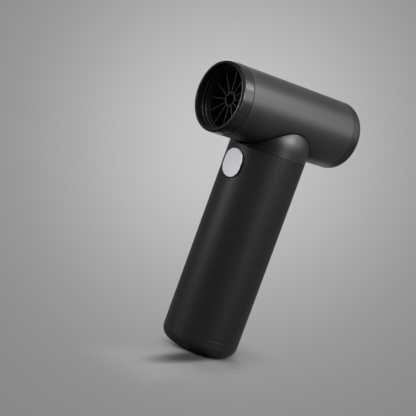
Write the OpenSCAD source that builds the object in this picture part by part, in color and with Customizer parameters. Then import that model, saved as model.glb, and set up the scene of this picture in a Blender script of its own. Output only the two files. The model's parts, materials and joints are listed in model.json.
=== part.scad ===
// Handheld cordless blower for drying cars: a short round barrel lies across the top of a
// round handle. A ducted fan in the barrel draws air in through the rear cap and drives it
// out through the front collar; the cells, the control board and the charging port are in
// the handle. +Z is up, the origin is the centre of the foot, and the outlet faces -Y.

/* [Barrel] */
// Outside diameter of the barrel
barrel_d = 50; // [47:0.5:58]
// Wall of the barrel tube
barrel_wall = 1.6; // [1.2:0.1:2.2]
// Height of the barrel's axis above the foot
barrel_height = 175.7; // [170:0.5:200]
// Handle axis to the outlet lip
outlet_reach = 59.5; // [54:0.5:80]
// Handle axis to the rear face
intake_reach = 60; // [58:0.5:80]

/* [Outlet collar] */
// Length of the collar ahead of its seam with the tube
collar_len = 9.6; // [7.6:0.1:13]
// Wall of the collar around the nozzle socket
socket_wall = 2.6; // [2.4:0.1:3]
// Depth of the nozzle socket
socket_depth = 5.6; // [3:0.1:6.2]
// Radial height of each inner step
step_in = 0.5; // [0.3:0.05:0.6]
// Length of the first inner step
step_len = 2.9; // [1.5:0.1:3.1]
// Rounding of the lip's outer edge
lip_outer_r = 2; // [0.3:0.1:2]
// Rounding of the lip's inner edge
lip_inner_r = 0.5; // [0.3:0.1:1]

/* [Flow straightener] */
// Number of radial vanes
vane_count = 12; // [8:1:16]
// Thickness of a vane
vane_t = 0.9; // [0.6:0.1:1.2]
// Lip to the vanes' front edge
vane_setback = 10.6; // [8.6:0.1:13.2]
// Length of the vanes along the barrel
vane_len = 8.4; // [6:0.2:9]
// Diameter of the hub ring
vane_hub_d = 10.2; // [8:0.2:14]
// Wall of the hub ring
vane_hub_wall = 1.2; // [0.8:0.1:1.8]
// Wall of the straightener's outer ring
vane_ring_wall = 0.9; // [0.7:0.1:1.2]
// Angle of the first vane from +X
vane_phase = 8.5; // [0:0.5:30]

/* [Rear cap] */
// Length of the cap behind its seam with the tube
cap_len = 10.5; // [9.5:0.5:13]
// Rounding of the cap's rear edge
cap_edge_r = 5.2; // [3:0.2:5.6]
// Width of the flat rim round the intake
cap_rim = 1; // [0.6:0.1:1.6]
// Wall of the cap's spigot
cap_spigot_wall = 1.9; // [1.4:0.1:2.2]
// Length of the cap's spigot in the tube
cap_spigot_len = 8.3; // [6:0.1:9]
// Depth of the grille below the rear face
grille_depth = 2; // [1:0.1:2.6]
// Thickness of the grille plate
grille_t = 1; // [0.8:0.1:1.4]
// Width across corners of a grille hole
grille_hole = 3.6; // [2.6:0.1:4]
// Web between grille holes
grille_web = 0.8; // [0.6:0.1:1.2]
// Pitch of the filter's wires
filter_pitch = 2.4; // [2:0.1:3]
// Thickness of a filter wire
filter_wire = 0.4; // [0.3:0.05:0.5]
// Length of the filter's retaining ring
filter_ring_len = 1.4; // [1:0.1:2]

/* [Motor and fan] */
// Wall of the inner duct
duct_wall = 1.5; // [1.2:0.1:1.8]
// Gap that the damper rings fill
damper_t = 0.9; // [0.6:0.1:1.2]
// Width of a damper ring
damper_len = 4; // [3:0.5:6]
// Outside diameter of the motor
motor_d = 29.2; // [27:0.2:31]
// Wall of the motor casing
motor_wall = 1.2; // [1:0.1:1.6]
// Length of the laminated core
core_len = 12; // [10:0.5:14]
// Number of stator vanes
stator_vanes = 9; // [7:1:11]
// Number of impeller blades
blade_count = 11; // [7:1:13]
// Length of the impeller hub
impeller_len = 11.5; // [10:0.5:12]
// Gap between blade tip and duct
tip_gap = 0.35; // [0.2:0.05:0.6]
// Diameter of the shaft
shaft_d = 3; // [2.6:0.1:3.2]
// Outside diameter of a bearing
bearing_d = 8; // [7.6:0.1:9]
// Width of a bearing
bearing_w = 4; // [3:0.1:4]

/* [Neck] */
// Thinnest part of the neck under the barrel
neck_rim = 0.9; // [0.8:0.1:2]
// Gap between barrel and cradle
cradle_gap = 0.3; // [0.2:0.05:0.5]
// Thickness of the cradle's floor
cradle_t = 2; // [1.6:0.1:2.2]
// Straight wall between the neck's seam and its dome
neck_straight = 6.2; // [4:0.2:9]
// Wall of the neck
neck_wall = 2.2; // [1.8:0.1:2.6]
// Length of the neck's skirt in the handle tube
skirt_len = 7; // [5:0.2:7.4]

/* [Handle] */
// Outside diameter of the handle
handle_d = 56; // [54:0.5:64]
// Wall of the handle tube
handle_wall = 2; // [1.6:0.1:2.4]
// Height of the base cap's seam above the foot
base_seam = 13.2; // [12.4:0.2:18]
// Rounding of the base cap's lower edge
foot_edge_r = 8.4; // [4:0.2:9]
// Wall of the base cap
base_wall = 2.4; // [2:0.1:2.8]
// Thickness of the foot pad
pad_t = 1.2; // [1:0.1:1.6]
// How far the foot pad stands proud of the cap
pad_proud = 0.4; // [0.2:0.1:0.6]
// Flat margin round the foot pad
pad_margin = 1.3; // [0.8:0.1:3]
// Chamfer of the edges that meet at a seam
seam_edge = 0.25; // [0.1:0.05:0.4]

/* [Button] */
// Width of the button
button_w = 19.2; // [17:0.2:20]
// Height of the button
button_h = 21; // [20:0.2:22]
// Neck seam to the button's centre
button_drop = 14.4; // [14:0.2:18]
// Travel of the button
button_travel = 1; // [0.4:0.1:1.2]
// Gap round the button
button_gap = 0.4; // [0.3:0.05:0.6]
// Rounding of the button's edge
button_edge_r = 0.7; // [0.3:0.1:1]
// Thickness of the button's face
button_face_t = 1.8; // [1.2:0.1:2.2]
// Wall of the button's skirt
button_wall = 1.4; // [1:0.1:1.8]

/* [Battery] */
// Diameter of a cell
cell_d = 18.2; // [18:0.05:18.5]
// Length of a cell
cell_len = 65; // [64:0.5:66]
// Distance between neighbouring cells' axes
cell_pitch = 19.4; // [19.2:0.1:19.8]
// Length of a cell's pocket in its tray
pocket_len = 8; // [5:0.5:12]

/* [Electronics] */
// Thickness of a circuit board
board_t = 1.6; // [1:0.1:2]
// Diameter of a lead
lead_d = 1.6; // [1.2:0.1:1.8]
// Width of the charging socket's shell
port_w = 8.94; // [8.9:0.02:9]
// Height of the charging socket's shell
port_h = 3.26; // [3.2:0.02:3.3]
// Length of the charging socket
port_len = 7.2; // [6.8:0.1:7.4]
// Wall of the charging socket's shell
port_wall = 0.3; // [0.2:0.05:0.35]

/* [Hidden] */
$fn = 96;

// Clearances: parts that slide or are pushed into each other, parts that are dropped in,
// parts that turn, and the overrun of a cutting shape past the face it cuts.
fit_gap = 0.15;
seat_gap = 0.3;
run_gap = 0.05;
over = 1;

// Barrel
barrel_r = barrel_d / 2;
shell_ir = barrel_r - barrel_wall;
lip_y = -outlet_reach;
front_seam_y = lip_y + collar_len;
rear_seam_y = intake_reach - cap_len;
spigot_r = shell_ir - fit_gap;

// Outlet: the socket, then two steps down to the bore that holds the straightener
socket_r = barrel_r - socket_wall;
lip_flat = 0.1;
lip_edge_r = min(lip_outer_r, socket_wall - lip_inner_r - lip_flat);
step_r = socket_r - step_in;
seat_r = step_r - step_in;
step_y = lip_y + socket_depth;
seat_y = step_y + step_len;
vane_y = lip_y + vane_setback;
vane_end_y = vane_y + vane_len;
vane_stop_t = 1;
collar_end_y = vane_end_y + vane_stop_t;
vane_ring_r = seat_r - fit_gap;
vane_ring_ir = vane_ring_r - vane_ring_wall;

// Duct and motor: every y is measured from the handle's axis
duct_r = shell_ir - damper_t;
duct_ir = duct_r - duct_wall;
duct_front_y = collar_end_y + seat_gap;
cap_spigot_y = rear_seam_y - cap_spigot_len;
duct_rear_y = cap_spigot_y - seat_gap;
motor_r = motor_d / 2;
motor_ir = motor_r - motor_wall;
plate_t = 1.8;
lead_r = lead_d / 2;
lead_y = -1.4;
terminal_y = lead_y + lead_r;
terminal_t = 1;
motor_front_y = lead_y - lead_r - seat_gap - plate_t;
core_y = terminal_y + terminal_t + 3.4;
motor_rear_y = core_y + core_len + 5.5;
bell_t = 2.5;
bell_flange_t = 1;
impeller_y = motor_rear_y + bell_flange_t + 1.2;
impeller_end_y = impeller_y + impeller_len;
hub_r = motor_r - 0.4;
nut_h = 2.4;
nut_r = 3;
shaft_r = shaft_d / 2;
front_bearing_y = motor_front_y;
rear_bearing_y = motor_rear_y - bearing_w;
tooth_count = 6;
tooth_w = 3;
air_gap = 0.4;
magnet_r = 5.2;
core_r = motor_ir - fit_gap;
yoke_t = 3.2;

// Blades: thickness, radius they are bent to and lean from the barrel's axis
stator_vane_t = 1.2;
stator_bend_r = 16;
stator_lean = -20;
blade_t = 0.9;
blade_bend_r = 15;
blade_lean = 38;
blade_margin = 1.5;
hub_nose_r = 22;
hub_wall = 1.5;
hub_roof_t = 6;

// Bearings: balls run in a groove halfway between the rings
bearing_r = bearing_d / 2;
ring_wall = 0.75;
ball_r = 0.7;
ball_count = 7;
ball_pitch_r = (bearing_r + shaft_r) / 2;

// Rear cap
cap_bore_r = spigot_r - cap_spigot_wall;
cap_mouth_r = barrel_r - cap_edge_r - cap_rim;
grille_y = intake_reach - grille_depth - grille_t;
grille_r = cap_bore_r - fit_gap;
filter_t = 2 * filter_wire;
filter_y = grille_y - filter_t;
filter_ring_y = filter_y - filter_ring_len;
grille_pitch = grille_hole * cos(30) + grille_web;

// Neck and handle
handle_r = handle_d / 2;
handle_ir = handle_r - handle_wall;
seam_z = barrel_height - barrel_r - cradle_gap - neck_rim;
dome_z = seam_z + neck_straight;
cradle_r = barrel_r + cradle_gap;
floor_r = cradle_r + cradle_t;
skirt_r = handle_ir - fit_gap;
skirt_z = seam_z - skirt_len;
boss_r = 3;
boss_end_z = barrel_height - floor_r - 1.1;
pad_end_z = boss_end_z - 0.2;
lead_hole_r = 4;
neck_boss_r = 3.2;
neck_pilot_len = 7;

// Inner frame: a lower bulkhead, two rails, a cross bar and a top flange
frame_r = handle_ir - seat_gap;
rail_t = 2.5;
rail_ir = frame_r - rail_t;
rail_w = 18;
bar_lap = 1.3;
flange_t = 2.5;
flange_hole_r = 9;
frame_top_z = skirt_z - 0.5;
frame_low_z = base_seam + 0.8;
base_spigot_len = 4;
base_spigot_wall = 2;
step_up_z = base_seam + base_spigot_len + 0.4;
bulkhead_z = step_up_z + 2.4;
base_spigot_r = handle_ir - fit_gap;
base_spigot_ir = base_spigot_r - base_spigot_wall;

// Battery pack: two by two cells on a tray, with a second tray over their tops
tray_floor = 2;
strip_t = 0.3;
strip_w = 8;
cell_z = bulkhead_z + tray_floor + strip_t;
cell_top_z = cell_z + cell_len;
tray_top_z = cell_top_z + strip_t + tray_floor;
tray_r = frame_r - 0.2;
half_pitch = cell_pitch / 2;
centre_hole_r = 3.6;

// Control board, in slots on the rails
board_y = terminal_y;
board_z = tray_top_z + 4.5;
board_top_z = frame_top_z - flange_t - 3.5;
slot_depth = 2;
slot_rib_in = 1.9;
slot_rib_x = rail_ir - slot_rib_in;
board_edge_x = slot_rib_x + slot_depth - seat_gap;

// On the board: leads reach a little way up it from below and down it from above, the chip
// is halfway between their ends, and the can stands beside the transistors
low_lead_lap = 7;
motor_lead_lap = 5;
chip_w = 7;
chip_t = 1;
chip_z = (board_z + low_lead_lap + board_top_z - motor_lead_lap - chip_w) / 2;
transistor_w = 5;
transistor_h = 6;
transistor_t = 1.1;
transistor_gap = 3;
transistor_drop = 4;
can_r = 5;
can_h = 14;
can_x = slot_rib_x - seat_gap - can_r;

// Button, its guide and its switch
button_z = seam_z - button_drop;
button_face_y = -handle_r;
flange_out = 0.6;
button_hw = button_w / 2;
flange_y = -sqrt(pow(handle_ir, 2) - pow(button_hw + flange_out, 2)) + seat_gap;
button_flange_t = 1;
button_end_y = flange_y + button_flange_t;
guide_in = flange_out + 0.25;
guide_out = guide_in + 1.2;
plunger_tip_y = button_end_y - 0.8;
plunger_proud = button_travel + 0.6;
switch_h = 3.4;
switch_w = 6.2;
plunger_r = 1.7;
switch_y = plunger_tip_y + plunger_proud;
switch_board_t = 1.2;
switch_board_y = switch_y + switch_h;
guide_plate_t = 2;
guide_plate_y = switch_board_y + switch_board_t;
cross_bar_y = guide_plate_y + guide_plate_t;
cross_bar_h = 9;
ear_hw = 16;
ear_lap = 4;
ear_screw_x = 12.5;
guide_low_z = button_z - button_h / 2 - guide_out;
cross_bar_z = guide_low_z - cross_bar_h;

// Base cap and charging port
pad_r = handle_r - foot_edge_r - pad_margin;
pad_top_z = pad_t;
base_floor_z = pad_proud + base_wall;
base_boss_r = 3.4;
base_boss_circle = 13.6;
base_screw_count = 3;
port_z = pad_top_z - 0.1;
port_top_z = port_z + port_len;
tongue_w = 6.7;
tongue_t = 0.7;
tongue_set = 0.8;
plug_w = 12.6;
plug_h = 6.8;
charge_board_t = 1.2;
charge_board_hw = 8;
charge_board_back = 8.4;
charge_board_front = 10;
post_x = 6;
post_y = -8;
post_r = 1.8;
pipe_y = 6.4;
pipe_r = 1.1;

// Screws: shank radius, and the pilot hole that it is driven into
screw_r = 1.2;
pilot_r = 1.25;
small_screw_r = 0.8;
small_pilot_r = 0.85;
small_grip = 5;
screw_clear_r = 1.5;
head_r = 2.6;
head_h = 1.6;
washer_r = 4.3;
washer_t = 0.6;
neck_grip = 6;
barrel_grip = 4.2;
screw_room = 0.7;
boss_y = -cross_bar_y - screw_room - washer_r;
neck_boss_x = slot_rib_x - head_r - 3 * screw_room;
base_head_z = pad_top_z + 0.3;
base_grip_z = base_head_z + head_h + 0.2;

// Turns the Z axis to the barrel's axis, so that heights become distances towards the intake
module along_barrel() {
    translate([0, 0, barrel_height]) rotate([-90, 0, 0]) children();
}

// Turns the Z axis to the front, so that heights become distances ahead of the handle's axis
module facing_front() {
    rotate([90, 0, 0]) children();
}

// Half section of a plain ring, from radius r0 to r1 and height z0 to z1
module section(r0, r1, z0, z1) {
    translate([r0, z0]) square([r1 - r0, z1 - z0]);
}

// What a fillet of radius f takes off a corner at [r, z]; dr and dz point out of the solid
module fillet_cut(r, z, f, dr, dz) {
    difference() {
        translate([dr > 0 ? r - f : r - over, dz > 0 ? z - f : z - over]) square(f + over);
        translate([r - dr * f, z - dz * f]) circle(r = f);
    }
}

// What a chamfer of size c takes off a corner at [r, z]
module chamfer_cut(r, z, c, dr, dz) {
    polygon([[r - dr * c, z + dz * over], [r - dr * c, z], [r, z - dz * c],
        [r + dr * over, z - dz * c], [r + dr * over, z + dz * over]]);
}

// A ring of n copies round the Z axis
module around(n, phase = 0) {
    for (i = [0 : n - 1]) rotate([0, 0, phase + i * 360 / n]) children();
}

// A flat bar with round ends: w across, h long, along Y
module stadium(w, h) {
    for (s = [-1, 1]) translate([0, s * (h - w) / 2]) circle(d = w);
    square([w, h - w], center = true);
}

// A stadium-shaped block whose upper edge is rounded by f
module rounded_stadium(w, h, z0, z1, f) {
    for (s = [-1, 1]) translate([0, s * (h - w) / 2, 0]) rotate_extrude() difference() {
        section(0, w / 2, z0, z1);
        fillet_cut(w / 2, z1, f, 1, 1);
    }
    rotate([90, 0, 0]) linear_extrude(h - w, center = true) difference() {
        section(-w / 2, w / 2, z0, z1);
        for (s = [-1, 1]) fillet_cut(s * w / 2, z1, f, s, 1);
    }
}

// A curved blade that stands out along X: chord along Z, thickness t, bent to radius bend
module blade(r0, r1, chord, t, bend, lean) {
    rotate([lean, 0, 0]) translate([r0, 0, 0]) rotate([0, 90, 0]) linear_extrude(r1 - r0)
        translate([0, bend]) intersection() {
            difference() {
                circle(r = bend + t / 2);
                circle(r = bend - t / 2);
            }
            translate([-chord / 2, -bend - t]) square([chord, bend]);
        }
}

// A pan-head screw that points up, with its head's upper face at height z
module screw(z, shank_r, len, r_head, h_head, r_washer = 0) {
    translate([0, 0, z]) cylinder(r = shank_r, h = len);
    translate([0, 0, z - h_head]) cylinder(r = r_head, h = h_head);
    if (r_washer > 0) translate([0, 0, z - washer_t]) cylinder(r = r_washer, h = washer_t);
}

// A straight upright lead
module upright_lead(x, y, z0, z1) {
    translate([x, y, z0]) cylinder(r = lead_r, h = z1 - z0);
}

// ---- Barrel ----

module outlet_collar() {
    color([0.2, 0.2, 0.19]) along_barrel() rotate_extrude() difference() {
        union() {
            section(0, barrel_r, lip_y, front_seam_y);
            section(0, spigot_r, front_seam_y, collar_end_y);
        }
        section(-over, socket_r, lip_y - over, step_y);
        section(-over, step_r, step_y - over, seat_y);
        section(-over, seat_r, seat_y - over, vane_end_y);
        section(-over, vane_ring_ir, vane_end_y - over, collar_end_y + over);
        fillet_cut(barrel_r, lip_y, lip_edge_r, 1, -1);
        fillet_cut(socket_r, lip_y, lip_inner_r, -1, -1);
        chamfer_cut(barrel_r, front_seam_y, seam_edge, 1, 1);
    }
}

module flow_straightener() {
    hub_r0 = vane_hub_d / 2;
    color([0.16, 0.16, 0.18]) along_barrel() translate([0, 0, vane_y]) {
        linear_extrude(vane_len) difference() {
            union() {
                difference() {
                    circle(r = vane_ring_r);
                    circle(r = vane_ring_ir);
                }
                circle(r = hub_r0);
                around(vane_count, -vane_phase) translate([hub_r0 - vane_hub_wall / 2, -vane_t / 2])
                    square([vane_ring_ir - hub_r0 + vane_hub_wall / 2 + vane_ring_wall / 2, vane_t]);
            }
            circle(r = hub_r0 - vane_hub_wall);
        }
    }
}

// Tube with two bosses below, which pass through the neck's cradle and take the screws
module barrel_shell() {
    color([0.17, 0.17, 0.175]) difference() {
        union() {
            along_barrel() rotate_extrude() difference() {
                section(0, barrel_r, front_seam_y, rear_seam_y);
                chamfer_cut(barrel_r, front_seam_y, seam_edge, 1, -1);
                chamfer_cut(barrel_r, rear_seam_y, seam_edge, 1, 1);
            }
            for (s = [-1, 1]) translate([0, s * boss_y, boss_end_z])
                cylinder(r = boss_r, h = barrel_height - shell_ir - boss_end_z);
        }
        along_barrel() translate([0, 0, front_seam_y - over])
            cylinder(r = shell_ir, h = rear_seam_y - front_seam_y + 2 * over);
        for (s = [-1, 1]) translate([0, s * boss_y, boss_end_z - over])
            cylinder(r = pilot_r, h = barrel_height - barrel_r + barrel_wall / 2 - boss_end_z + over);
        translate([0, lead_y, boss_end_z - over]) cylinder(r = lead_hole_r, h = floor_r);
    }
}

// ---- Rear cap ----

module rear_cap() {
    color([0.15, 0.15, 0.155]) along_barrel() rotate_extrude() difference() {
        union() {
            section(0, barrel_r, rear_seam_y, intake_reach);
            section(0, spigot_r, cap_spigot_y, rear_seam_y);
        }
        section(-over, cap_bore_r, cap_spigot_y - over, intake_reach - grille_depth);
        section(-over, cap_mouth_r, cap_spigot_y, intake_reach + over);
        fillet_cut(barrel_r, intake_reach, cap_edge_r, 1, 1);
        chamfer_cut(barrel_r, rear_seam_y, seam_edge, 1, -1);
    }
}

// Perforated plate: a honeycomb of six-sided holes inside a plain rim
module intake_grille() {
    rows = ceil(cap_mouth_r / grille_pitch / cos(30));
    reach = cap_mouth_r - grille_hole / 2 - grille_web;
    color([0.2, 0.2, 0.21]) along_barrel() translate([0, 0, grille_y]) linear_extrude(grille_t)
        difference() {
            circle(r = grille_r);
            for (row = [-rows : rows], col = [-rows : rows]) {
                x = (col + row / 2) * grille_pitch;
                y = row * grille_pitch * cos(30);
                if (norm([x, y]) < reach)
                    translate([x, y]) rotate(30) circle(d = grille_hole, $fn = 6);
            }
        }
}

// Two crossed layers of wires in a flat rim
module filter_mesh() {
    rim = 1.6;
    count = floor((grille_r - rim) / filter_pitch);
    color([0.45, 0.45, 0.47]) along_barrel() translate([0, 0, filter_y]) {
        linear_extrude(filter_t) difference() {
            circle(r = grille_r);
            circle(r = grille_r - rim);
        }
        intersection() {
            cylinder(r = grille_r - rim / 2, h = filter_t);
            for (i = [-count : count]) {
                translate([i * filter_pitch, 0, filter_wire / 2])
                    cube([filter_wire, 2 * grille_r, filter_wire], center = true);
                translate([0, i * filter_pitch, filter_wire * 3 / 2])
                    cube([2 * grille_r, filter_wire, filter_wire], center = true);
            }
        }
    }
}

module filter_ring() {
    color([0.12, 0.12, 0.12]) along_barrel() translate([0, 0, filter_ring_y])
        linear_extrude(filter_ring_len) difference() {
            circle(r = grille_r);
            circle(r = grille_r - 2);
        }
}

// ---- Duct and motor ----

// Duct, motor casing and the stator vanes between them, with a seat for the front bearing
module motor_duct() {
    vane_mid_y = core_y + core_len / 2;
    color([0.1, 0.1, 0.11]) difference() {
        along_barrel() difference() {
            union() {
                translate([0, 0, duct_front_y]) linear_extrude(duct_rear_y - duct_front_y)
                    difference() {
                        circle(r = duct_r);
                        circle(r = duct_ir);
                    }
                translate([0, 0, motor_front_y])
                    cylinder(r = motor_r, h = motor_rear_y - motor_front_y);
                intersection() {
                    translate([0, 0, vane_mid_y - core_len])
                        cylinder(r = duct_ir + duct_wall / 2, h = 2 * core_len);
                    translate([0, 0, vane_mid_y]) around(stator_vanes, 90)
                        blade(motor_ir + motor_wall / 2, duct_r, core_len + 1,
                            stator_vane_t, stator_bend_r, stator_lean);
                }
            }
            difference() {
                translate([0, 0, motor_front_y + plate_t])
                    cylinder(r = motor_ir, h = motor_rear_y - motor_front_y);
                translate([0, 0, motor_front_y])
                    cylinder(r = bearing_r + motor_wall, h = terminal_y - seat_gap - motor_front_y);
            }
            translate([0, 0, motor_front_y - over])
                cylinder(r = bearing_r + run_gap, h = motor_rear_y);
        }
        translate([0, lead_y, barrel_height - duct_r - over])
            cylinder(r = lead_hole_r - 0.4, h = duct_r - magnet_r);
    }
}

// Soft rings between the duct and the barrel tube
module damper_rings() {
    color([0.3, 0.3, 0.32]) along_barrel()
        for (y = [duct_front_y + 4, duct_rear_y - 4 - damper_len]) translate([0, 0, y])
            linear_extrude(damper_len) difference() {
                circle(r = shell_ir - run_gap);
                circle(r = duct_r + run_gap);
            }
}

// Round-nosed cone behind the motor, downstream
module tail_cone() {
    cone_r = motor_r - 0.1;
    color([0.12, 0.12, 0.13]) along_barrel() translate([0, 0, motor_front_y]) difference() {
        intersection() {
            sphere(r = cone_r);
            translate([0, 0, -2 * cone_r]) cylinder(r = cone_r, h = 2 * cone_r);
        }
        translate([0, 0, -over]) cylinder(r = bearing_r + 1, h = 2 * over);
    }
}

// Lid of the motor casing on the impeller's side, with the seat of the rear bearing
module motor_end_bell() {
    color([0.55, 0.56, 0.58]) along_barrel() difference() {
        union() {
            translate([0, 0, motor_rear_y]) cylinder(r = motor_r - 0.1, h = bell_flange_t);
            translate([0, 0, motor_rear_y - bell_t])
                cylinder(r = motor_ir - fit_gap, h = bell_t);
        }
        translate([0, 0, motor_rear_y - bell_t - over]) {
            cylinder(r = shaft_r + 0.9, h = 2 * bell_t + 2 * over);
            cylinder(r = bearing_r + run_gap, h = bell_t + over);
        }
    }
}

module stator_core() {
    bore_r = magnet_r + air_gap;
    color([0.42, 0.43, 0.45]) along_barrel() translate([0, 0, core_y]) linear_extrude(core_len)
        difference() {
            union() {
                difference() {
                    circle(r = core_r);
                    circle(r = core_r - yoke_t);
                }
                around(tooth_count) translate([0, -tooth_w / 2])
                    square([core_r - yoke_t / 2, tooth_w]);
            }
            circle(r = bore_r);
        }
}

// One coil round each tooth
module motor_windings() {
    r0 = magnet_r + air_gap + 1;
    coil_w = 2 * r0 * tan(180 / tooth_count) - 0.5;
    coil_len = sqrt(pow(core_r - yoke_t, 2) - pow(coil_w / 2, 2)) - 0.3 - r0;
    color([0.72, 0.4, 0.2]) along_barrel() translate([0, 0, core_y + core_len / 2])
        around(tooth_count) translate([r0 + coil_len / 2, 0, 0]) difference() {
            cube([coil_len, coil_w, core_len + 4], center = true);
            cube([coil_len + 2 * over, tooth_w + 0.2, core_len + 0.2], center = true);
        }
}

module motor_terminal_board() {
    color([0.1, 0.32, 0.2]) along_barrel() translate([0, 0, terminal_y])
        linear_extrude(terminal_t) difference() {
            circle(r = motor_ir - seat_gap);
            circle(r = magnet_r);
        }
}

// Draws its children at both bearings
module at_bearings() {
    along_barrel() for (y = [front_bearing_y, rear_bearing_y]) translate([0, 0, y]) children();
}

// Section of the groove that the balls run in
module ball_groove() {
    translate([ball_pitch_r, bearing_w / 2]) circle(r = ball_r + run_gap);
}

module bearing_outer_rings() {
    color([0.7, 0.7, 0.72]) at_bearings() rotate_extrude() difference() {
        section(bearing_r - ring_wall, bearing_r, 0, bearing_w);
        ball_groove();
    }
}

module bearing_inner_rings() {
    color([0.7, 0.7, 0.72]) at_bearings() rotate_extrude() difference() {
        section(shaft_r + run_gap / 2, shaft_r + ring_wall, 0, bearing_w);
        ball_groove();
    }
}

module bearing_balls() {
    color([0.8, 0.8, 0.82]) at_bearings() around(ball_count)
        translate([ball_pitch_r, 0, bearing_w / 2]) sphere(r = ball_r);
}

module motor_shaft() {
    color([0.75, 0.75, 0.77]) along_barrel() translate([0, 0, front_bearing_y])
        cylinder(r = shaft_r, h = impeller_end_y + nut_h + 0.6 - front_bearing_y);
}

module rotor_magnet() {
    color([0.35, 0.36, 0.38]) along_barrel() translate([0, 0, core_y])
        linear_extrude(core_len) difference() {
            circle(r = magnet_r);
            circle(r = shaft_r + run_gap / 2);
        }
}

// Domed hub, hollow behind, with curved blades round it
module impeller() {
    tip_r = duct_ir - tip_gap;
    color([0.78, 0.79, 0.8]) along_barrel() translate([0, 0, impeller_y]) difference() {
        union() {
            intersection() {
                cylinder(r = hub_r, h = impeller_len);
                translate([0, 0, impeller_len - hub_nose_r]) sphere(r = hub_nose_r);
            }
            intersection() {
                cylinder(r = tip_r, h = impeller_len - blade_margin);
                translate([0, 0, impeller_len / 2 - 1]) around(blade_count)
                    blade(hub_r - hub_wall / 2, tip_r + over, impeller_len - 2 * blade_margin,
                        blade_t, blade_bend_r, blade_lean);
            }
        }
        translate([0, 0, -over]) {
            cylinder(r = hub_r - hub_wall, h = impeller_len - hub_roof_t + over);
            cylinder(r = shaft_r + run_gap / 2, h = impeller_len + 2 * over);
        }
    }
}

module impeller_nut() {
    color([0.7, 0.7, 0.72]) along_barrel() translate([0, 0, impeller_end_y])
        linear_extrude(nut_h) difference() {
            circle(r = nut_r, $fn = 6);
            circle(r = shaft_r + run_gap / 2);
        }
}

// Three leads from the control board up through the neck to the motor's terminal board
module motor_leads() {
    color([0.75, 0.12, 0.1]) for (i = [-1 : 1])
        upright_lead(i * (lead_d + 0.7), lead_y, board_top_z - motor_lead_lap,
            barrel_height - motor_ir + 2.4);
}

// ---- Neck ----

// Outline of the neck as a solid: a dome on a straight wall, and the skirt below its seam
module neck_outer() {
    translate([0, 0, seam_z]) cylinder(r = handle_r, h = neck_straight);
    translate([0, 0, dome_z]) sphere(r = handle_r);
}

module neck_dome() {
    notch_hw = button_hw + guide_out + 0.5;
    notch_z = button_z + button_h / 2 + guide_out + 0.4;
    color([0.13, 0.13, 0.135]) difference() {
        union() {
            intersection() {
                neck_outer();
                translate([0, 0, seam_z + handle_d]) cube(2 * handle_d, center = true);
            }
            translate([0, 0, skirt_z]) cylinder(r = skirt_r, h = skirt_len + over / 2);
        }
        // The hollow below the cradle's floor, with its bosses left standing
        difference() {
            union() {
                translate([0, 0, skirt_z - over]) cylinder(r = skirt_r - 2, h = dome_z - skirt_z + over);
                translate([0, 0, dome_z]) sphere(r = handle_r - neck_wall);
            }
            along_barrel() cylinder(r = floor_r, h = 2 * handle_d, center = true);
            translate([0, 0, skirt_z - 2 * over - handle_d])
                cylinder(r = handle_d, h = handle_d);
            for (s = [-1, 1]) {
                translate([s * neck_boss_x, 0, frame_top_z])
                    cylinder(r = neck_boss_r, h = handle_r);
                translate([0, s * boss_y, pad_end_z]) cylinder(r = 5, h = cradle_t + 5);
            }
        }
        along_barrel() cylinder(r = cradle_r, h = 3 * handle_d, center = true);
        translate([0, 0, seam_z - skirt_len]) for (s = [-1, 1]) {
            translate([s * neck_boss_x, 0, -over])
                cylinder(r = pilot_r, h = neck_pilot_len + over);
            translate([0, s * boss_y, -over]) cylinder(r = boss_r + seat_gap, h = handle_r);
        }
        translate([0, lead_y, skirt_z]) cylinder(r = lead_hole_r, h = handle_r);
        translate([-notch_hw, -handle_ir, skirt_z - over])
            cube([2 * notch_hw, handle_ir + cross_bar_y + 0.4, notch_z - skirt_z + over]);
    }
}

// Screws with wide heads that hold the barrel down in its cradle
module barrel_screws() {
    color([0.6, 0.6, 0.62]) for (s = [-1, 1]) translate([0, s * boss_y, 0])
        screw(pad_end_z, screw_r, barrel_grip, head_r, washer_t + head_h, washer_r);
}

// Screws through the frame's top flange into the neck
module neck_screws() {
    color([0.6, 0.6, 0.62]) for (s = [-1, 1]) translate([s * neck_boss_x, 0, 0])
        screw(frame_top_z - flange_t, screw_r, flange_t + neck_grip, head_r, head_h);
}

// ---- Handle ----

module handle_tube() {
    color([0.1, 0.1, 0.1]) difference() {
        rotate_extrude() difference() {
            section(handle_ir, handle_r, base_seam, seam_z);
            chamfer_cut(handle_r, base_seam, seam_edge, 1, -1);
            chamfer_cut(handle_r, seam_z, seam_edge, 1, 1);
        }
        translate([0, 0, button_z]) facing_front() linear_extrude(handle_d)
            stadium(button_w + 2 * button_gap, button_h + 2 * button_gap);
    }
}

// A part of the frame that is trimmed to the inside of the handle tube
module inside_tube() {
    intersection() {
        cylinder(r = frame_r, h = barrel_height);
        children();
    }
}

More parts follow.
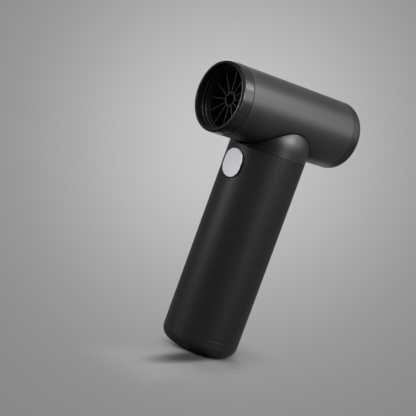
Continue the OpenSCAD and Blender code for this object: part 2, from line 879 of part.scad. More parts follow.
module handle_frame() {
    color([0.24, 0.24, 0.26]) difference() {
        union() {
            // Lower bulkhead, stepped over the base cap's spigot
            translate([0, 0, frame_low_z])
                cylinder(r = base_spigot_ir - seat_gap, h = bulkhead_z - frame_low_z);
            translate([0, 0, step_up_z]) cylinder(r = frame_r, h = bulkhead_z - step_up_z);
            translate([0, 0, frame_top_z - flange_t]) cylinder(r = frame_r, h = flange_t);
            intersection() {
                difference() {
                    translate([0, 0, step_up_z]) cylinder(r = frame_r, h = frame_top_z - step_up_z);
                    cylinder(r = rail_ir, h = barrel_height);
                }
                translate([-handle_r, -rail_w / 2, 0]) cube([handle_d, rail_w, barrel_height]);
            }
            inside_tube() {
                translate([-handle_r, cross_bar_y, cross_bar_z])
                    cube([handle_d, bar_lap - rail_w / 2 - cross_bar_y, cross_bar_h]);
                for (s = [-1, 1]) translate([s > 0 ? slot_rib_x : -handle_r, board_y - 2.4, board_z])
                    cube([handle_r - slot_rib_x, board_t + 4.8, frame_top_z - board_z]);
            }
        }
        // Slots for the control board
        for (s = [-1, 1]) translate([s > 0 ? slot_rib_x - over : -slot_rib_x - slot_depth,
                board_y - fit_gap, board_z - over])
            cube([slot_depth + over, board_t + 2 * fit_gap, board_top_z - board_z + 2 * over]);
        // Openings for the leads and for the button's guide
        translate([0, 0, -over]) cylinder(r = centre_hole_r, h = bulkhead_z + 2 * over);
        translate([0, 0, frame_top_z - flange_t - over])
            cylinder(r = flange_hole_r, h = flange_t + 2 * over);
        translate([-button_hw - guide_out - 0.5, -handle_r, frame_top_z - flange_t - over])
            cube([button_w + 2 * guide_out + 1, handle_r + cross_bar_y + 1, flange_t + 2 * over]);
        for (s = [-1, 1]) {
            translate([s * neck_boss_x, 0, frame_top_z - flange_t - over])
                cylinder(r = screw_clear_r, h = flange_t + 2 * over);
            translate([s * ear_screw_x, cross_bar_y - over, cross_bar_z + cross_bar_h / 2])
                rotate([-90, 0, 0]) cylinder(r = small_pilot_r, h = small_grip + 2 * over);
        }
        at_base_screws() translate([0, 0, -over]) cylinder(r = pilot_r, h = bulkhead_z - 1 + over);
    }
}

// ---- Button ----

// Puts its children at the button, with +Z pointing out of the handle's front
module at_button() {
    translate([0, 0, button_z]) facing_front() children();
}

module button_cap() {
    skirt_w = button_w - 2 * button_wall;
    skirt_h = button_h - 2 * button_wall;
    color([0.8, 0.8, 0.82]) at_button() difference() {
        union() {
            rounded_stadium(button_w, button_h, -button_end_y, -button_face_y, button_edge_r);
            translate([0, 0, -button_end_y]) linear_extrude(button_flange_t)
                stadium(button_w + 2 * flange_out, button_h + 2 * flange_out);
        }
        difference() {
            translate([0, 0, -button_end_y - over])
                linear_extrude(button_end_y - button_face_y - button_face_t + over)
                    stadium(skirt_w, skirt_h);
            translate([0, 0, -plunger_tip_y]) cylinder(r = 2.4, h = handle_r);
        }
    }
}

// Collar that the button slides in, on a plate that carries the switch board
module button_guide() {
    collar_w = button_w + 2 * guide_out;
    collar_h = button_h + 2 * guide_out;
    color([0.2, 0.2, 0.21]) inside_tube() at_button() difference() {
        union() {
            translate([0, 0, -cross_bar_y]) linear_extrude(handle_r + cross_bar_y)
                stadium(collar_w, collar_h);
            translate([-ear_hw, -collar_h / 2 - cross_bar_h, -cross_bar_y])
                cube([2 * ear_hw, cross_bar_h + ear_lap, guide_plate_t]);
        }
        translate([0, 0, -guide_plate_y]) linear_extrude(handle_d)
            stadium(button_w + 2 * guide_in, button_h + 2 * guide_in);
        for (s = [-1, 1]) translate([s * ear_screw_x, -collar_h / 2 - cross_bar_h / 2, -cross_bar_y - over])
            cylinder(r = small_screw_r + 0.2, h = guide_plate_t + 2 * over);
    }
}

// Screws through the guide's ears into the frame's cross bar
module guide_screws() {
    color([0.6, 0.6, 0.62]) for (s = [-1, 1])
        translate([s * ear_screw_x, 0, cross_bar_z + cross_bar_h / 2]) rotate([-90, 0, 0])
            screw(guide_plate_y, small_screw_r, guide_plate_t + small_grip, 1.7, 1.2);
}

module switch_board() {
    color([0.1, 0.32, 0.2]) at_button() translate([0, 0, -guide_plate_y])
        linear_extrude(switch_board_t) stadium(button_w + 2 * guide_in - 2 * seat_gap,
            button_h + 2 * guide_in - 2 * seat_gap);
}

module tactile_switch() {
    color([0.15, 0.15, 0.16]) at_button() translate([0, 0, -switch_board_y]) difference() {
        translate([-switch_w / 2, -switch_w / 2, 0]) cube([switch_w, switch_w, switch_h]);
        translate([0, 0, 0.6]) cylinder(r = plunger_r + run_gap, h = switch_h);
    }
}

module switch_plunger() {
    color([0.7, 0.7, 0.7]) at_button() translate([0, 0, -plunger_tip_y - plunger_proud - 1])
        cylinder(r = plunger_r, h = plunger_proud + 1);
}

// ---- Electronics in the handle ----

module control_board() {
    color([0.1, 0.32, 0.2]) translate([-board_edge_x, board_y, board_z])
        cube([2 * board_edge_x, board_t, board_top_z - board_z]);
}

// Two rows of three on the board's back
module power_transistors() {
    color([0.12, 0.12, 0.12]) for (row = [0, 1], col = [-1 : 1])
        translate([col * (transistor_w + transistor_gap) - transistor_w / 2, board_y + board_t,
                board_top_z - transistor_drop - transistor_h
                    - row * (transistor_h + transistor_gap)])
            cube([transistor_w, transistor_t, transistor_h]);
}

module controller_chip() {
    color([0.1, 0.1, 0.11]) translate([-chip_w / 2, board_y - chip_t, chip_z])
        cube([chip_w, chip_t, chip_w]);
}

// Upright can on the board's back
module smoothing_capacitor() {
    color([0.25, 0.28, 0.4]) translate([can_x, board_y + board_t + can_r, board_z + 1])
        cylinder(r = can_r, h = can_h);
}

// Two leads from the pack's upper strips to the control board
module battery_leads() {
    color([0.75, 0.12, 0.1]) for (s = [-1, 1])
        upright_lead(s * half_pitch, lead_y, cell_top_z + strip_t, board_z + low_lead_lap);
}

// ---- Battery ----

module at_cells() {
    for (sx = [-1, 1], sy = [-1, 1]) translate([sx * half_pitch, sy * half_pitch, 0]) children();
}

module battery_cells() {
    color([0.15, 0.35, 0.5]) at_cells() translate([0, 0, cell_z]) rotate_extrude() difference() {
        section(0, cell_d / 2, 0, cell_len);
        for (end = [-1, 1]) fillet_cut(cell_d / 2, end > 0 ? cell_len : 0, 0.6, 1, end);
    }
}

// Welded links: two across the bottom and two along the top
module nickel_strips() {
    strip_len = cell_pitch + strip_w;
    color([0.72, 0.71, 0.68]) for (s = [-1, 1]) {
        translate([-strip_len / 2, s * half_pitch - strip_w / 2, cell_z - strip_t])
            cube([strip_len, strip_w, strip_t]);
        translate([s * half_pitch - strip_w / 2, -strip_len / 2, cell_top_z])
            cube([strip_w, strip_len, strip_t]);
    }
}

// A round tray with four pockets; side is 1 for pockets that open upwards, -1 for downwards
module battery_tray(z, side) {
    depth = pocket_len + strip_t;
    link = cell_pitch + strip_w + 2 * seat_gap;
    translate([0, 0, z]) difference() {
        translate([0, 0, side > 0 ? 0 : -tray_floor - depth])
            cylinder(r = tray_r, h = tray_floor + depth);
        at_cells() translate([0, 0, side > 0 ? tray_floor : -tray_floor - depth - over])
            cylinder(r = cell_d / 2 + fit_gap, h = depth + over);
        for (s = [-1, 1]) rotate([0, 0, side > 0 ? 0 : 90])
            translate([-link / 2, s * half_pitch - strip_w / 2 - fit_gap,
                    side > 0 ? tray_floor : -tray_floor - strip_t])
                cube([link, strip_w + 2 * fit_gap, strip_t]);
        // Room for the frame's rails, and for the leads up the middle
        difference() {
            translate([-handle_r, -rail_w / 2 - seat_gap, -handle_r])
                cube([handle_d, rail_w + 2 * seat_gap, handle_d]);
            translate([0, 0, -handle_d]) cylinder(r = rail_ir - seat_gap, h = 2 * handle_d);
        }
        translate([0, 0, -handle_r]) cylinder(r = centre_hole_r, h = handle_d);
        if (side < 0) for (s = [-1, 1]) translate([s * half_pitch, lead_y, -tray_floor - over])
            cylinder(r = lead_r + seat_gap, h = tray_floor + 2 * over);
    }
}

module battery_tray_lower() {
    color([0.85, 0.83, 0.75]) battery_tray(bulkhead_z, 1);
}

module battery_tray_upper() {
    color([0.85, 0.83, 0.75]) battery_tray(tray_top_z, -1);
}

// ---- Base ----

// Draws its children on the base screws' circle
module at_base_screws() {
    around(base_screw_count, 90) translate([base_boss_circle, 0, 0]) children();
}

module base_cap() {
    color([0.1, 0.1, 0.1]) difference() {
        union() {
            rotate_extrude() difference() {
                union() {
                    section(0, handle_r, pad_proud, base_seam);
                    section(0, base_spigot_r, base_seam, base_seam + base_spigot_len);
                }
                fillet_cut(handle_r, pad_proud, foot_edge_r, 1, -1);
                chamfer_cut(handle_r, base_seam, seam_edge, 1, 1);
                difference() {
                    section(-over, base_spigot_ir, base_floor_z, base_seam + base_spigot_len + over);
                    fillet_cut(base_spigot_ir, base_floor_z, foot_edge_r - base_wall, 1, -1);
                }
            }
            at_base_screws() translate([0, 0, base_floor_z / 2])
                cylinder(r = base_boss_r, h = frame_low_z - base_floor_z / 2);
            for (s = [-1, 1]) translate([s * post_x, post_y, base_floor_z / 2])
                cylinder(r = post_r, h = port_top_z - base_floor_z / 2);
            translate([0, 0, base_floor_z / 2]) linear_extrude(2.4)
                rotate(90) stadium(port_h + 4, port_w + 4);
        }
        translate([0, 0, -over]) cylinder(r = pad_r + fit_gap, h = pad_top_z + over);
        at_base_screws() {
            translate([0, 0, -over]) cylinder(r = screw_clear_r, h = frame_low_z + 2 * over);
            translate([0, 0, -over]) cylinder(r = head_r + 0.3, h = base_grip_z + over);
        }
        for (s = [-1, 1]) translate([s * post_x, post_y, port_top_z - 4])
            cylinder(r = small_pilot_r, h = 4 + over);
        linear_extrude(base_floor_z + 2.5 * over)
            rotate(90) stadium(port_h + 2 * fit_gap, port_w + 2 * fit_gap);
        translate([0, pipe_y, 0]) cylinder(r = pipe_r + fit_gap, h = base_seam);
    }
}

// Pad over the screw heads, with openings for the plug and the light
module foot_pad() {
    color([0.16, 0.16, 0.16]) linear_extrude(pad_t) difference() {
        circle(r = pad_r);
        rotate(90) stadium(plug_h, plug_w);
        translate([0, pipe_y]) circle(r = pipe_r + 0.5);
    }
}

module base_screws() {
    color([0.6, 0.6, 0.62]) at_base_screws()
        screw(base_grip_z, screw_r, bulkhead_z - 1.6 - base_grip_z, head_r, head_h);
}

module charge_board() {
    color([0.1, 0.32, 0.2]) difference() {
        translate([-charge_board_hw, -charge_board_front, port_top_z])
            cube([2 * charge_board_hw, charge_board_front + charge_board_back, charge_board_t]);
        for (s = [-1, 1]) translate([s * post_x, post_y, port_top_z - over])
            cylinder(r = small_screw_r + 0.2, h = charge_board_t + 2 * over);
    }
}

module charge_board_screws() {
    color([0.6, 0.6, 0.62]) for (s = [-1, 1])
        translate([s * post_x, post_y, port_top_z + charge_board_t]) mirror([0, 0, 1])
            screw(0, small_screw_r, charge_board_t + 3, 1.5, 1);
}

// Metal shell of the charging socket: a flattened tube, closed where it meets its board
module usb_socket() {
    color([0.72, 0.72, 0.74]) translate([0, 0, port_z]) difference() {
        linear_extrude(port_len) rotate(90) stadium(port_h, port_w);
        translate([0, 0, -over]) linear_extrude(port_len - port_wall + over) rotate(90)
            stadium(port_h - 2 * port_wall, port_w - 2 * port_wall);
    }
}

module usb_tongue() {
    color([0.1, 0.1, 0.1]) translate([-tongue_w / 2, -tongue_t / 2, port_z + tongue_set])
        cube([tongue_w, tongue_t, port_len - port_wall - tongue_set]);
}

// Clear rod that carries the charging light from its board down to the foot
module charge_light_pipe() {
    color([0.85, 0.9, 0.9, 0.6]) translate([0, pipe_y, pad_proud])
        cylinder(r = pipe_r, h = port_top_z - pad_proud);
}

// Two leads up between the cells, from the charging board to the control board
module charge_leads() {
    color([0.1, 0.1, 0.1]) for (s = [-1, 1])
        upright_lead(s * (lead_r + seat_gap), lead_y, port_top_z + charge_board_t,
            board_z + low_lead_lap);
}

outlet_collar();
flow_straightener();
barrel_shell();
motor_duct();
damper_rings();
tail_cone();
motor_end_bell();
stator_core();
motor_windings();
motor_terminal_board();
bearing_outer_rings();
bearing_balls();
bearing_inner_rings();
motor_shaft();
rotor_magnet();
impeller();
impeller_nut();
motor_leads();
rear_cap();
intake_grille();
filter_mesh();
filter_ring();
neck_dome();
barrel_screws();
neck_screws();
handle_tube();
handle_frame();
button_cap();
button_guide();
guide_screws();
switch_board();
tactile_switch();
switch_plunger();
control_board();
power_transistors();
controller_chip();
smoothing_capacitor();
battery_leads();
battery_cells();
nickel_strips();
battery_tray_lower();
battery_tray_upper();
charge_board();
charge_board_screws();
usb_socket();
usb_tongue();
charge_light_pipe();
charge_leads();
base_cap();
foot_pad();
base_screws();
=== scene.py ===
"""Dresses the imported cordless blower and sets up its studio.

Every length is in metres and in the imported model's frame: +Z is up, the origin is the middle of
the foot, and the outlet faces -Y.
"""

import json
import logging
import math
from collections.abc import Sequence
from dataclasses import dataclass
from enum import Enum

import bmesh
import bpy
from mathutils import Matrix, Vector

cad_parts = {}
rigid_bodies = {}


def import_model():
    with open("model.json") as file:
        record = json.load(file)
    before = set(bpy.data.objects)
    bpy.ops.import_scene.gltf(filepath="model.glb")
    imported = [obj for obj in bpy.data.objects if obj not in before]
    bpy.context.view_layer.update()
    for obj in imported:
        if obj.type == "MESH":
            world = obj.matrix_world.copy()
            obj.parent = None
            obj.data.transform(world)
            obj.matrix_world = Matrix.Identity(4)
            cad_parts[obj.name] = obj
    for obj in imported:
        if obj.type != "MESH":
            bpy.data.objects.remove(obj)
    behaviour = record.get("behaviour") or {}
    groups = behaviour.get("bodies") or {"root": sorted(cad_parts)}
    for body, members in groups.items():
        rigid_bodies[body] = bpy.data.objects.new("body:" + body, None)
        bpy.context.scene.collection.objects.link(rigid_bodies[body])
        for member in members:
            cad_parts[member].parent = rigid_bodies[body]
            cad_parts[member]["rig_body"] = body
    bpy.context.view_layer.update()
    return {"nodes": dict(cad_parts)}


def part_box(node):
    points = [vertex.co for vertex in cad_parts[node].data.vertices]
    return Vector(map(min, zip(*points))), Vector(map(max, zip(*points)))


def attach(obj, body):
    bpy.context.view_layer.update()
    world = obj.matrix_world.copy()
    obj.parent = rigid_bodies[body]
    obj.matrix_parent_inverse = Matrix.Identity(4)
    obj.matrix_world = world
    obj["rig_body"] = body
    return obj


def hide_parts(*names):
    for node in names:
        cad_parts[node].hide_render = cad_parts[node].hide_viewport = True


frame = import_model()

MM = 0.001
TINY = 1e-9
MERGE_DISTANCE = 1e-7
SHARP_ANGLE = math.radians(40)
COS_30 = math.cos(math.pi / 6)
LOG = logging.getLogger("blower")

Point2 = tuple[float, float]
Point3 = tuple[float, float, float]
Colour = Point3
Socket = bpy.types.NodeSocket
Piece = bpy.types.Object


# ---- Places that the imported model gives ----

@dataclass(frozen=True)
class Extent:
    """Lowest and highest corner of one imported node."""

    low: Vector
    high: Vector

    @classmethod
    def of(cls, node: str) -> "Extent":
        """Reads a node's box from the frame."""
        return cls(*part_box(node))

    @property
    def radius(self) -> float:
        """Half the width along X, which is the radius of a round piece."""
        return (self.high.x - self.low.x) / 2

    @property
    def middle_y(self) -> float:
        """Y of the box's middle."""
        return (self.low.y + self.high.y) / 2

    @property
    def middle_z(self) -> float:
        """Z of the box's middle."""
        return (self.low.z + self.high.z) / 2


BARREL_HEIGHT = Extent.of("rear_cap").middle_z
BOSS_Y = Extent.of("barrel_screws").high.y - Extent.of("barrel_screws").radius


class Axis(Enum):
    """The two axes that the round pieces are turned about."""

    HANDLE = "handle"
    BARREL = "barrel"

    def point(self, radius: float, angle: float, along: float) -> Vector:
        """Places a point of a turned piece.

        Args:
            radius: distance from the axis.
            angle: turn about the axis, in radians; 0 is +X.
            along: height on the handle, or Y on the barrel.

        Returns:
            The point in the frame.
        """
        across, rise = radius * math.cos(angle), radius * math.sin(angle)
        if self is Axis.HANDLE:
            return Vector((across, rise, along))
        return Vector((across, along, BARREL_HEIGHT + rise))

    def matrix(self) -> Matrix:
        """Turns the Z axis of a piece made at the origin to this axis.

        Returns:
            The matrix to apply to the piece's mesh.
        """
        if self is Axis.HANDLE:
            return Matrix.Identity(4)
        return Matrix.Translation((0, 0, BARREL_HEIGHT)) @ Matrix.Rotation(-math.pi / 2, 4, "X")


# ---- Mesh tools ----

class Combine(Enum):
    """How one solid meets another."""

    CUT = "DIFFERENCE"
    JOIN = "UNION"


def full_turn(count: int, start: float = 0.0) -> list[float]:
    """Lists even angles round a full turn, the first of them at start."""
    return [start + math.tau * i / count for i in range(count)]


def quarter_turn(steps: int) -> list[float]:
    """Lists even angles over a quarter turn, with both its ends."""
    return [math.pi / 2 * k / steps for k in range(steps + 1)]


class Outline:
    """A closed outline beside an axis, with rounded corners."""

    def __init__(self, rounding: float = 0.15 * MM, steps: int = 4) -> None:
        """Starts an empty outline.

        Args:
            rounding: radius of every corner that names none of its own.
            steps: straight pieces in each rounded quarter turn.
        """
        self.rounding = rounding
        self.steps = steps
        self.corners: list[Point3] = []

    def to(self, radius: float, along: float, rounding: float | None = None) -> "Outline":
        """Adds a corner, and returns the outline so that calls can follow each other."""
        self.corners.append((radius, along, self.rounding if rounding is None else rounding))
        return self

    def points(self) -> list[Point2]:
        """Works out the outline, with an arc at each rounded corner.

        Returns:
            The outline's points, in order.
        """
        found: list[Point2] = []
        count = len(self.corners)
        for i, (radius, along, rounding) in enumerate(self.corners):
            corner = Vector((radius, along))
            before = Vector(self.corners[i - 1][:2]) - corner
            after = Vector(self.corners[(i + 1) % count][:2]) - corner
            if rounding <= 0 or radius <= 0:
                found.append((radius, along))
            else:
                found += self._arc(corner, before.normalized(), after.normalized(), rounding)
        return found

    def _arc(self, corner: Vector, before: Vector, after: Vector, rounding: float) -> list[Point2]:
        """Rounds one corner.

        Args:
            corner: the sharp corner.
            before: unit vector towards the corner before it.
            after: unit vector towards the next corner.
            rounding: radius of the arc.

        Returns:
            Points along the arc, from the side before to the side after.
        """
        half = before.angle(after) / 2
        centre = corner + (before + after).normalized() * (rounding / math.sin(half))
        start = corner + before * (rounding / math.tan(half)) - centre
        end = corner + after * (rounding / math.tan(half)) - centre
        sweep = start.angle_signed(end)
        steps = max(2, round(self.steps * abs(sweep) / (math.pi / 2)))
        turned = [Matrix.Rotation(-sweep * k / steps, 2) @ start for k in range(steps + 1)]
        return [(centre.x + p.x, centre.y + p.y) for p in turned]


class Shell:
    """A closed mesh that is collected row by row."""

    def __init__(self) -> None:
        """Starts an empty mesh."""
        self.points: list[Vector] = []
        self.faces: list[list[int]] = []

    def row(self, points: Sequence[Vector]) -> list[int]:
        """Adds a row of points.

        Args:
            points: the points, in order.

        Returns:
            Their numbers in the mesh.
        """
        first = len(self.points)
        self.points += points
        return list(range(first, first + len(points)))

    def bridge(self, a: Sequence[int], b: Sequence[int]) -> None:
        """Joins two closed rows with faces; a row of one point is a pole.

        Args:
            a: numbers of the points in one row.
            b: numbers of the points in the other row.
        """
        for i in range(max(len(a), len(b))):
            j = i + 1
            corners = [a[i % len(a)], a[j % len(a)], b[j % len(b)], b[i % len(b)]]
            self.faces.append(list(dict.fromkeys(corners)))

    def skin(self, rows: Sequence[Sequence[int]]) -> None:
        """Joins each row to the next one, and leaves out a line between two poles.

        Args:
            rows: the rows, in order.
        """
        for a, b in zip(rows, rows[1:]):
            if len(a) > 1 or len(b) > 1:
                self.bridge(a, b)

    def lid(self, row: Sequence[int]) -> None:
        """Closes a flat row with one face."""
        self.faces.append(list(row))

    def mesh(self, name: str) -> bpy.types.Mesh:
        """Builds the mesh, with doubles merged and every face outward.

        Args:
            name: name of the mesh.

        Returns:
            The closed mesh.
        """
        mesh = bpy.data.meshes.new(name)
        mesh.from_pydata(self.points, [], self.faces)
        work = bmesh.new()
        work.from_mesh(mesh)
        bmesh.ops.remove_doubles(work, verts=work.verts, dist=MERGE_DISTANCE)
        bmesh.ops.recalc_face_normals(work, faces=work.faces)
        work.to_mesh(mesh)
        work.free()
        return mesh

    def piece(self, name: str) -> Piece:
        """Builds the mesh as an object."""
        return place(name, self.mesh(name))


def place(name: str, mesh: bpy.types.Mesh) -> Piece:
    """Puts a mesh in the scene as an object at the origin.

    Args:
        name: name of the object and of its mesh.
        mesh: the mesh, with the piece's place in it.

    Returns:
        The new object.
    """
    mesh.name = name
    piece = bpy.data.objects.new(name, mesh)
    bpy.context.scene.collection.objects.link(piece)
    return piece


def turned(name: str, outline: Outline, axis: Axis, segments: int = 256) -> Piece:
    """Turns an outline about an axis.

    Args:
        name: name of the new piece.
        outline: closed outline; points at radius 0 become poles.
        axis: the axis it is turned about.
        segments: faces round the axis.

    Returns:
        The new object.
    """
    shell = Shell()
    angles = full_turn(segments)
    rows = [
        shell.row([axis.point(radius, angle, along) for angle in (angles if radius > 0 else [0.0])])
        for radius, along in outline.points()
    ]
    shell.skin(rows + rows[:1])
    return shell.piece(name)


def baked(piece: Piece) -> Piece:
    """Applies a piece's modifiers to its mesh.

    Args:
        piece: the piece, with its modifiers set.

    Returns:
        The piece, with a plain mesh and no modifier.
    """
    bpy.context.view_layer.update()
    graph = bpy.context.evaluated_depsgraph_get()
    mesh = bpy.data.meshes.new_from_object(piece.evaluated_get(graph), depsgraph=graph)
    piece.modifiers.clear()
    old, piece.data = piece.data, mesh
    bpy.data.meshes.remove(old)
    mesh.name = piece.name
    return piece


def combined(piece: Piece, others: Sequence[Piece], how: Combine = Combine.CUT) -> Piece:
    """Cuts other solids out of a piece, or joins them to it, and removes them.

    Args:
        piece: the closed solid that is kept.
        others: closed solids that are used up.
        how: whether they are cut out or joined on.

    Returns:
        The piece.
    """
    for other in others:
        step = piece.modifiers.new("combine", "BOOLEAN")
        step.operation, step.solver, step.object = how.value, "MANIFOLD", other
        baked(piece)
        bpy.data.objects.remove(other)
    return piece


def smoothed(piece: Piece) -> Piece:
    """Shades a piece smoothly, with flat faces kept flat and steep edges kept sharp.

    Args:
        piece: the piece, whose shape is final.

    Returns:
        The piece.
    """
    piece.data.shade_smooth()
    piece.data.set_sharp_from_angle(angle=SHARP_ANGLE)
    weigh = piece.modifiers.new("normals", "WEIGHTED_NORMAL")
    weigh.keep_sharp, weigh.weight = True, 100
    return baked(piece)


def prism(name: str, ends: Sequence[Sequence[Vector]]) -> Piece:
    """Makes a closed solid between two flat outlines.

    Args:
        name: name of the new piece.
        ends: the points of each outline, as many in one as in the other.

    Returns:
        The solid as an object.
    """
    shell = Shell()
    rows = [shell.row(points) for points in ends]
    shell.skin(rows)
    for row in rows:
        shell.lid(row)
    return shell.piece(name)


def rod(axis: Axis, centre: Point2, radius: float, start: float, end: float,
        segments: int = 48) -> Piece:
    """Makes a plain round rod, for cuts and bosses.

    Args:
        axis: the direction it runs in.
        centre: its place across that axis, in X and Y of the turned piece.
        radius: its radius.
        start: where it starts along the axis.
        end: where it ends along the axis.
        segments: faces round it.

    Returns:
        The rod as an object.
    """
    spots = [(centre[0] + radius * math.cos(a), centre[1] + radius * math.sin(a))
             for a in full_turn(segments)]
    return prism("rod", [[axis.matrix() @ Vector((x, y, along)) for x, y in spots]
                         for along in (start, end)])


def pair(centre: Point2, radius: float, start: float, end: float) -> list[Piece]:
    """Makes two upright rods, at a place across the handle's axis and opposite it."""
    return [rod(Axis.HANDLE, (side * centre[0], side * centre[1]), radius, start, end)
            for side in (-1, 1)]


def block(low: Vector, high: Vector) -> Piece:
    """Makes a plain block between its lowest and its highest corner, for cuts."""
    corners = ((low.x, low.y), (high.x, low.y), (high.x, high.y), (low.x, high.y))
    return prism("block", [[Vector((x, y, z)) for x, y in corners] for z in (low.z, high.z)])


@dataclass(frozen=True)
class Stadium:
    """A rounded outline of two half circles joined by straight sides, taller than it is wide."""

    width: float
    height: float
    fullness: float = 0.0

    def reach(self, angle: float, grown: float = 0.0) -> Point2:
        """Finds the outline in one direction from its centre.

        Args:
            angle: direction in radians; 0 is across, a quarter turn is up.
            grown: how far the outline is widened all round.

        Returns:
            The point across and up from the centre.
        """
        half, rise = self.width / 2 + grown, (self.height - self.width) / 2
        c, s = math.cos(angle), math.sin(angle)
        distance = half / max(abs(c), TINY)
        if distance * abs(s) > rise:
            up = abs(s) * rise
            distance = up + math.sqrt(up * up + half * half - rise * rise)
        distance += self.fullness * math.sin(2 * angle) ** 2
        return distance * c, distance * s


BUTTON_OUTLINE = Stadium(19.2 * MM, 21 * MM, 0.35 * MM)


# ---- Node trees ----

class Nodes:
    """A node tree under construction."""

    prefix = "ShaderNode"

    def __init__(self, tree: bpy.types.NodeTree) -> None:
        """Takes the tree that the nodes are added to."""
        self.tree = tree

    def node(self, kind: str, inputs: dict | None = None, **settings: object) -> bpy.types.Node:
        """Adds a node.

        Args:
            kind: the node's type, without the prefix of the tree's own nodes, or in full.
            inputs: value, socket or list of sockets for each input, by name or number.
            settings: properties of the node itself.

        Returns:
            The new node.
        """
        whole = kind.startswith(("ShaderNode", "NodeGroup"))
        made = self.tree.nodes.new(kind if whole else self.prefix + kind)
        for key, value in settings.items():
            setattr(made, key, value)
        self.feed(made, inputs or {})
        return made

    def feed(self, node: bpy.types.Node, inputs: dict) -> None:
        """Sets a node's inputs to values, or links sockets to them.

        Args:
            node: the node.
            inputs: value, socket or list of sockets for each input, by name or number.
        """
        for key, value in inputs.items():
            for each in value if isinstance(value, list) else [value]:
                if isinstance(each, Socket):
                    self.tree.links.new(each, node.inputs[key])
                else:
                    node.inputs[key].default_value = each

    def math(self, operation: str, *values: object, clamp: bool = False) -> Socket:
        """Adds a Math node on values or sockets and returns its result."""
        inputs = dict(enumerate(values))
        return self.node("ShaderNodeMath", inputs, operation=operation, use_clamp=clamp).outputs[0]

    def measure(self, operation: str, *vectors: object) -> Socket:
        """Adds a Vector Math node that gives a number, and returns the number."""
        inputs = dict(enumerate(vectors))
        return self.node("ShaderNodeVectorMath", inputs, operation=operation).outputs["Value"]


class GeometryTree(Nodes):
    """A Geometry Nodes tree under construction, with named inputs."""

    prefix = "GeometryNode"

    def __init__(self, name: str) -> None:
        """Starts a tree that takes the inputs it is later given.

        Args:
            name: the tree's name.
        """
        super().__init__(bpy.data.node_groups.new(name, "GeometryNodeTree"))
        self.tree.interface.new_socket("Geometry", in_out="OUTPUT", socket_type="NodeSocketGeometry")
        self.source = self.node("NodeGroupInput")
        self.values: dict[str, float | int | bpy.types.Material] = {}

    def size(self, name: str, value: float) -> Socket:
        """Adds a named length or angle and returns its socket."""
        return self._input(name, value, "NodeSocketFloat")

    def count(self, name: str, value: int) -> Socket:
        """Adds a named whole number and returns its socket."""
        return self._input(name, value, "NodeSocketInt")

    def _input(self, name: str, value: float | int | bpy.types.Material, kind: str) -> Socket:
        """Adds one named input and remembers its value by the socket's identifier.

        Args:
            name: the input's name.
            value: what it is set to when the tree runs.
            kind: the type of its socket.

        Returns:
            The input's socket inside the tree.
        """
        item = self.tree.interface.new_socket(name, in_out="INPUT", socket_type=kind)
        self.values[item.identifier] = value
        return self.source.outputs[name]

    def position(self) -> Socket:
        """Adds a Position node and returns each point's place."""
        return self.node("InputPosition").outputs[0]

    def half(self, value: object) -> Socket:
        """Halves a value or socket and returns the result."""
        return self.math("MULTIPLY", value, 0.5)

    def vector(self, x: object = 0.0, y: object = 0.0, z: object = 0.0) -> Socket:
        """Adds a Combine XYZ node and returns its vector."""
        return self.node("ShaderNodeCombineXYZ", {"X": x, "Y": y, "Z": z}).outputs[0]

    def bar(self, width: object, height: object, rounding: object) -> Socket:
        """Adds the outline of a rounded bar.

        Args:
            width: its width.
            height: its height.
            rounding: radius of its corners.

        Returns:
            The outline as a curve.
        """
        plain = self.node("CurvePrimitiveQuadrilateral", {"Width": width, "Height": height})
        fillet = {"Curve": plain.outputs[0], "Count": 4, "Radius": rounding, "Limit Radius": True}
        return self.node("FilletCurve", fillet, mode="POLY").outputs[0]

    def sweep(self, path: object, profile: object, caps: bool = False) -> Socket:
        """Sweeps a profile along a path and returns the mesh."""
        inputs = {"Curve": path, "Profile Curve": profile, "Fill Caps": caps}
        return self.node("CurveToMesh", inputs).outputs[0]

    def hoop(self, outer: object, wall: object, height: object, rounding: object,
             sides: int) -> Socket:
        """Makes a ring about the Z axis, with rounded edges.

        Args:
            outer: its outside radius.
            wall: its thickness from the inside to the outside.
            height: its height along its axis.
            rounding: radius of its edges.
            sides: faces round it.

        Returns:
            The ring as a mesh.
        """
        middle = self.math("SUBTRACT", outer, self.half(wall))
        circle = self.node("CurvePrimitiveCircle", {"Resolution": sides, "Radius": middle})
        return self.sweep(circle.outputs[0], self.bar(wall, height, rounding))

    def joined(self, *meshes: object) -> Socket:
        """Joins closed meshes into one solid and returns it."""
        settings = {"operation": Combine.JOIN.value, "solver": "MANIFOLD"}
        return self.node("MeshBoolean", {"Mesh 2": list(meshes)}, **settings).outputs[0]

    def cut(self, base: object, cutters: object) -> Socket:
        """Cuts closed meshes out of a solid and returns what is left of it."""
        settings = {"operation": Combine.CUT.value, "solver": "MANIFOLD"}
        return self.node("MeshBoolean", {"Mesh 1": base, "Mesh 2": cutters}, **settings).outputs[0]

    def run(self, name: str, geometry: Socket, material: bpy.types.Material, along: float) -> Piece:
        """Ends the tree, runs it and keeps the result as a plain mesh on the barrel's axis.

        Args:
            name: name of the piece.
            geometry: what the tree makes, with its middle at the origin and its axis on Z.
            material: the piece's material.
            along: Y of the piece's middle.

        Returns:
            The piece, at the origin, without its modifier.
        """
        finish = self._input("Material", material, "NodeSocketMaterial")
        moved = self.node("Transform", {"Geometry": geometry, "Translation": (0, 0, along)})
        whole = self.node("RealizeInstances", {"Geometry": moved.outputs[0]})
        dressed = self.node("SetMaterial", {"Geometry": whole.outputs[0], "Material": finish})
        self.node("NodeGroupOutput", {0: dressed.outputs[0]})
        piece = place(name, bpy.data.meshes.new(name))
        modifier = piece.modifiers.new(name, "NODES")
        modifier.node_group = self.tree
        for identifier, value in self.values.items():
            modifier[identifier] = value
        baked(piece)
        piece.data.transform(Axis.BARREL.matrix())
        return smoothed(piece)


# ---- Shader groups that the finishes share ----

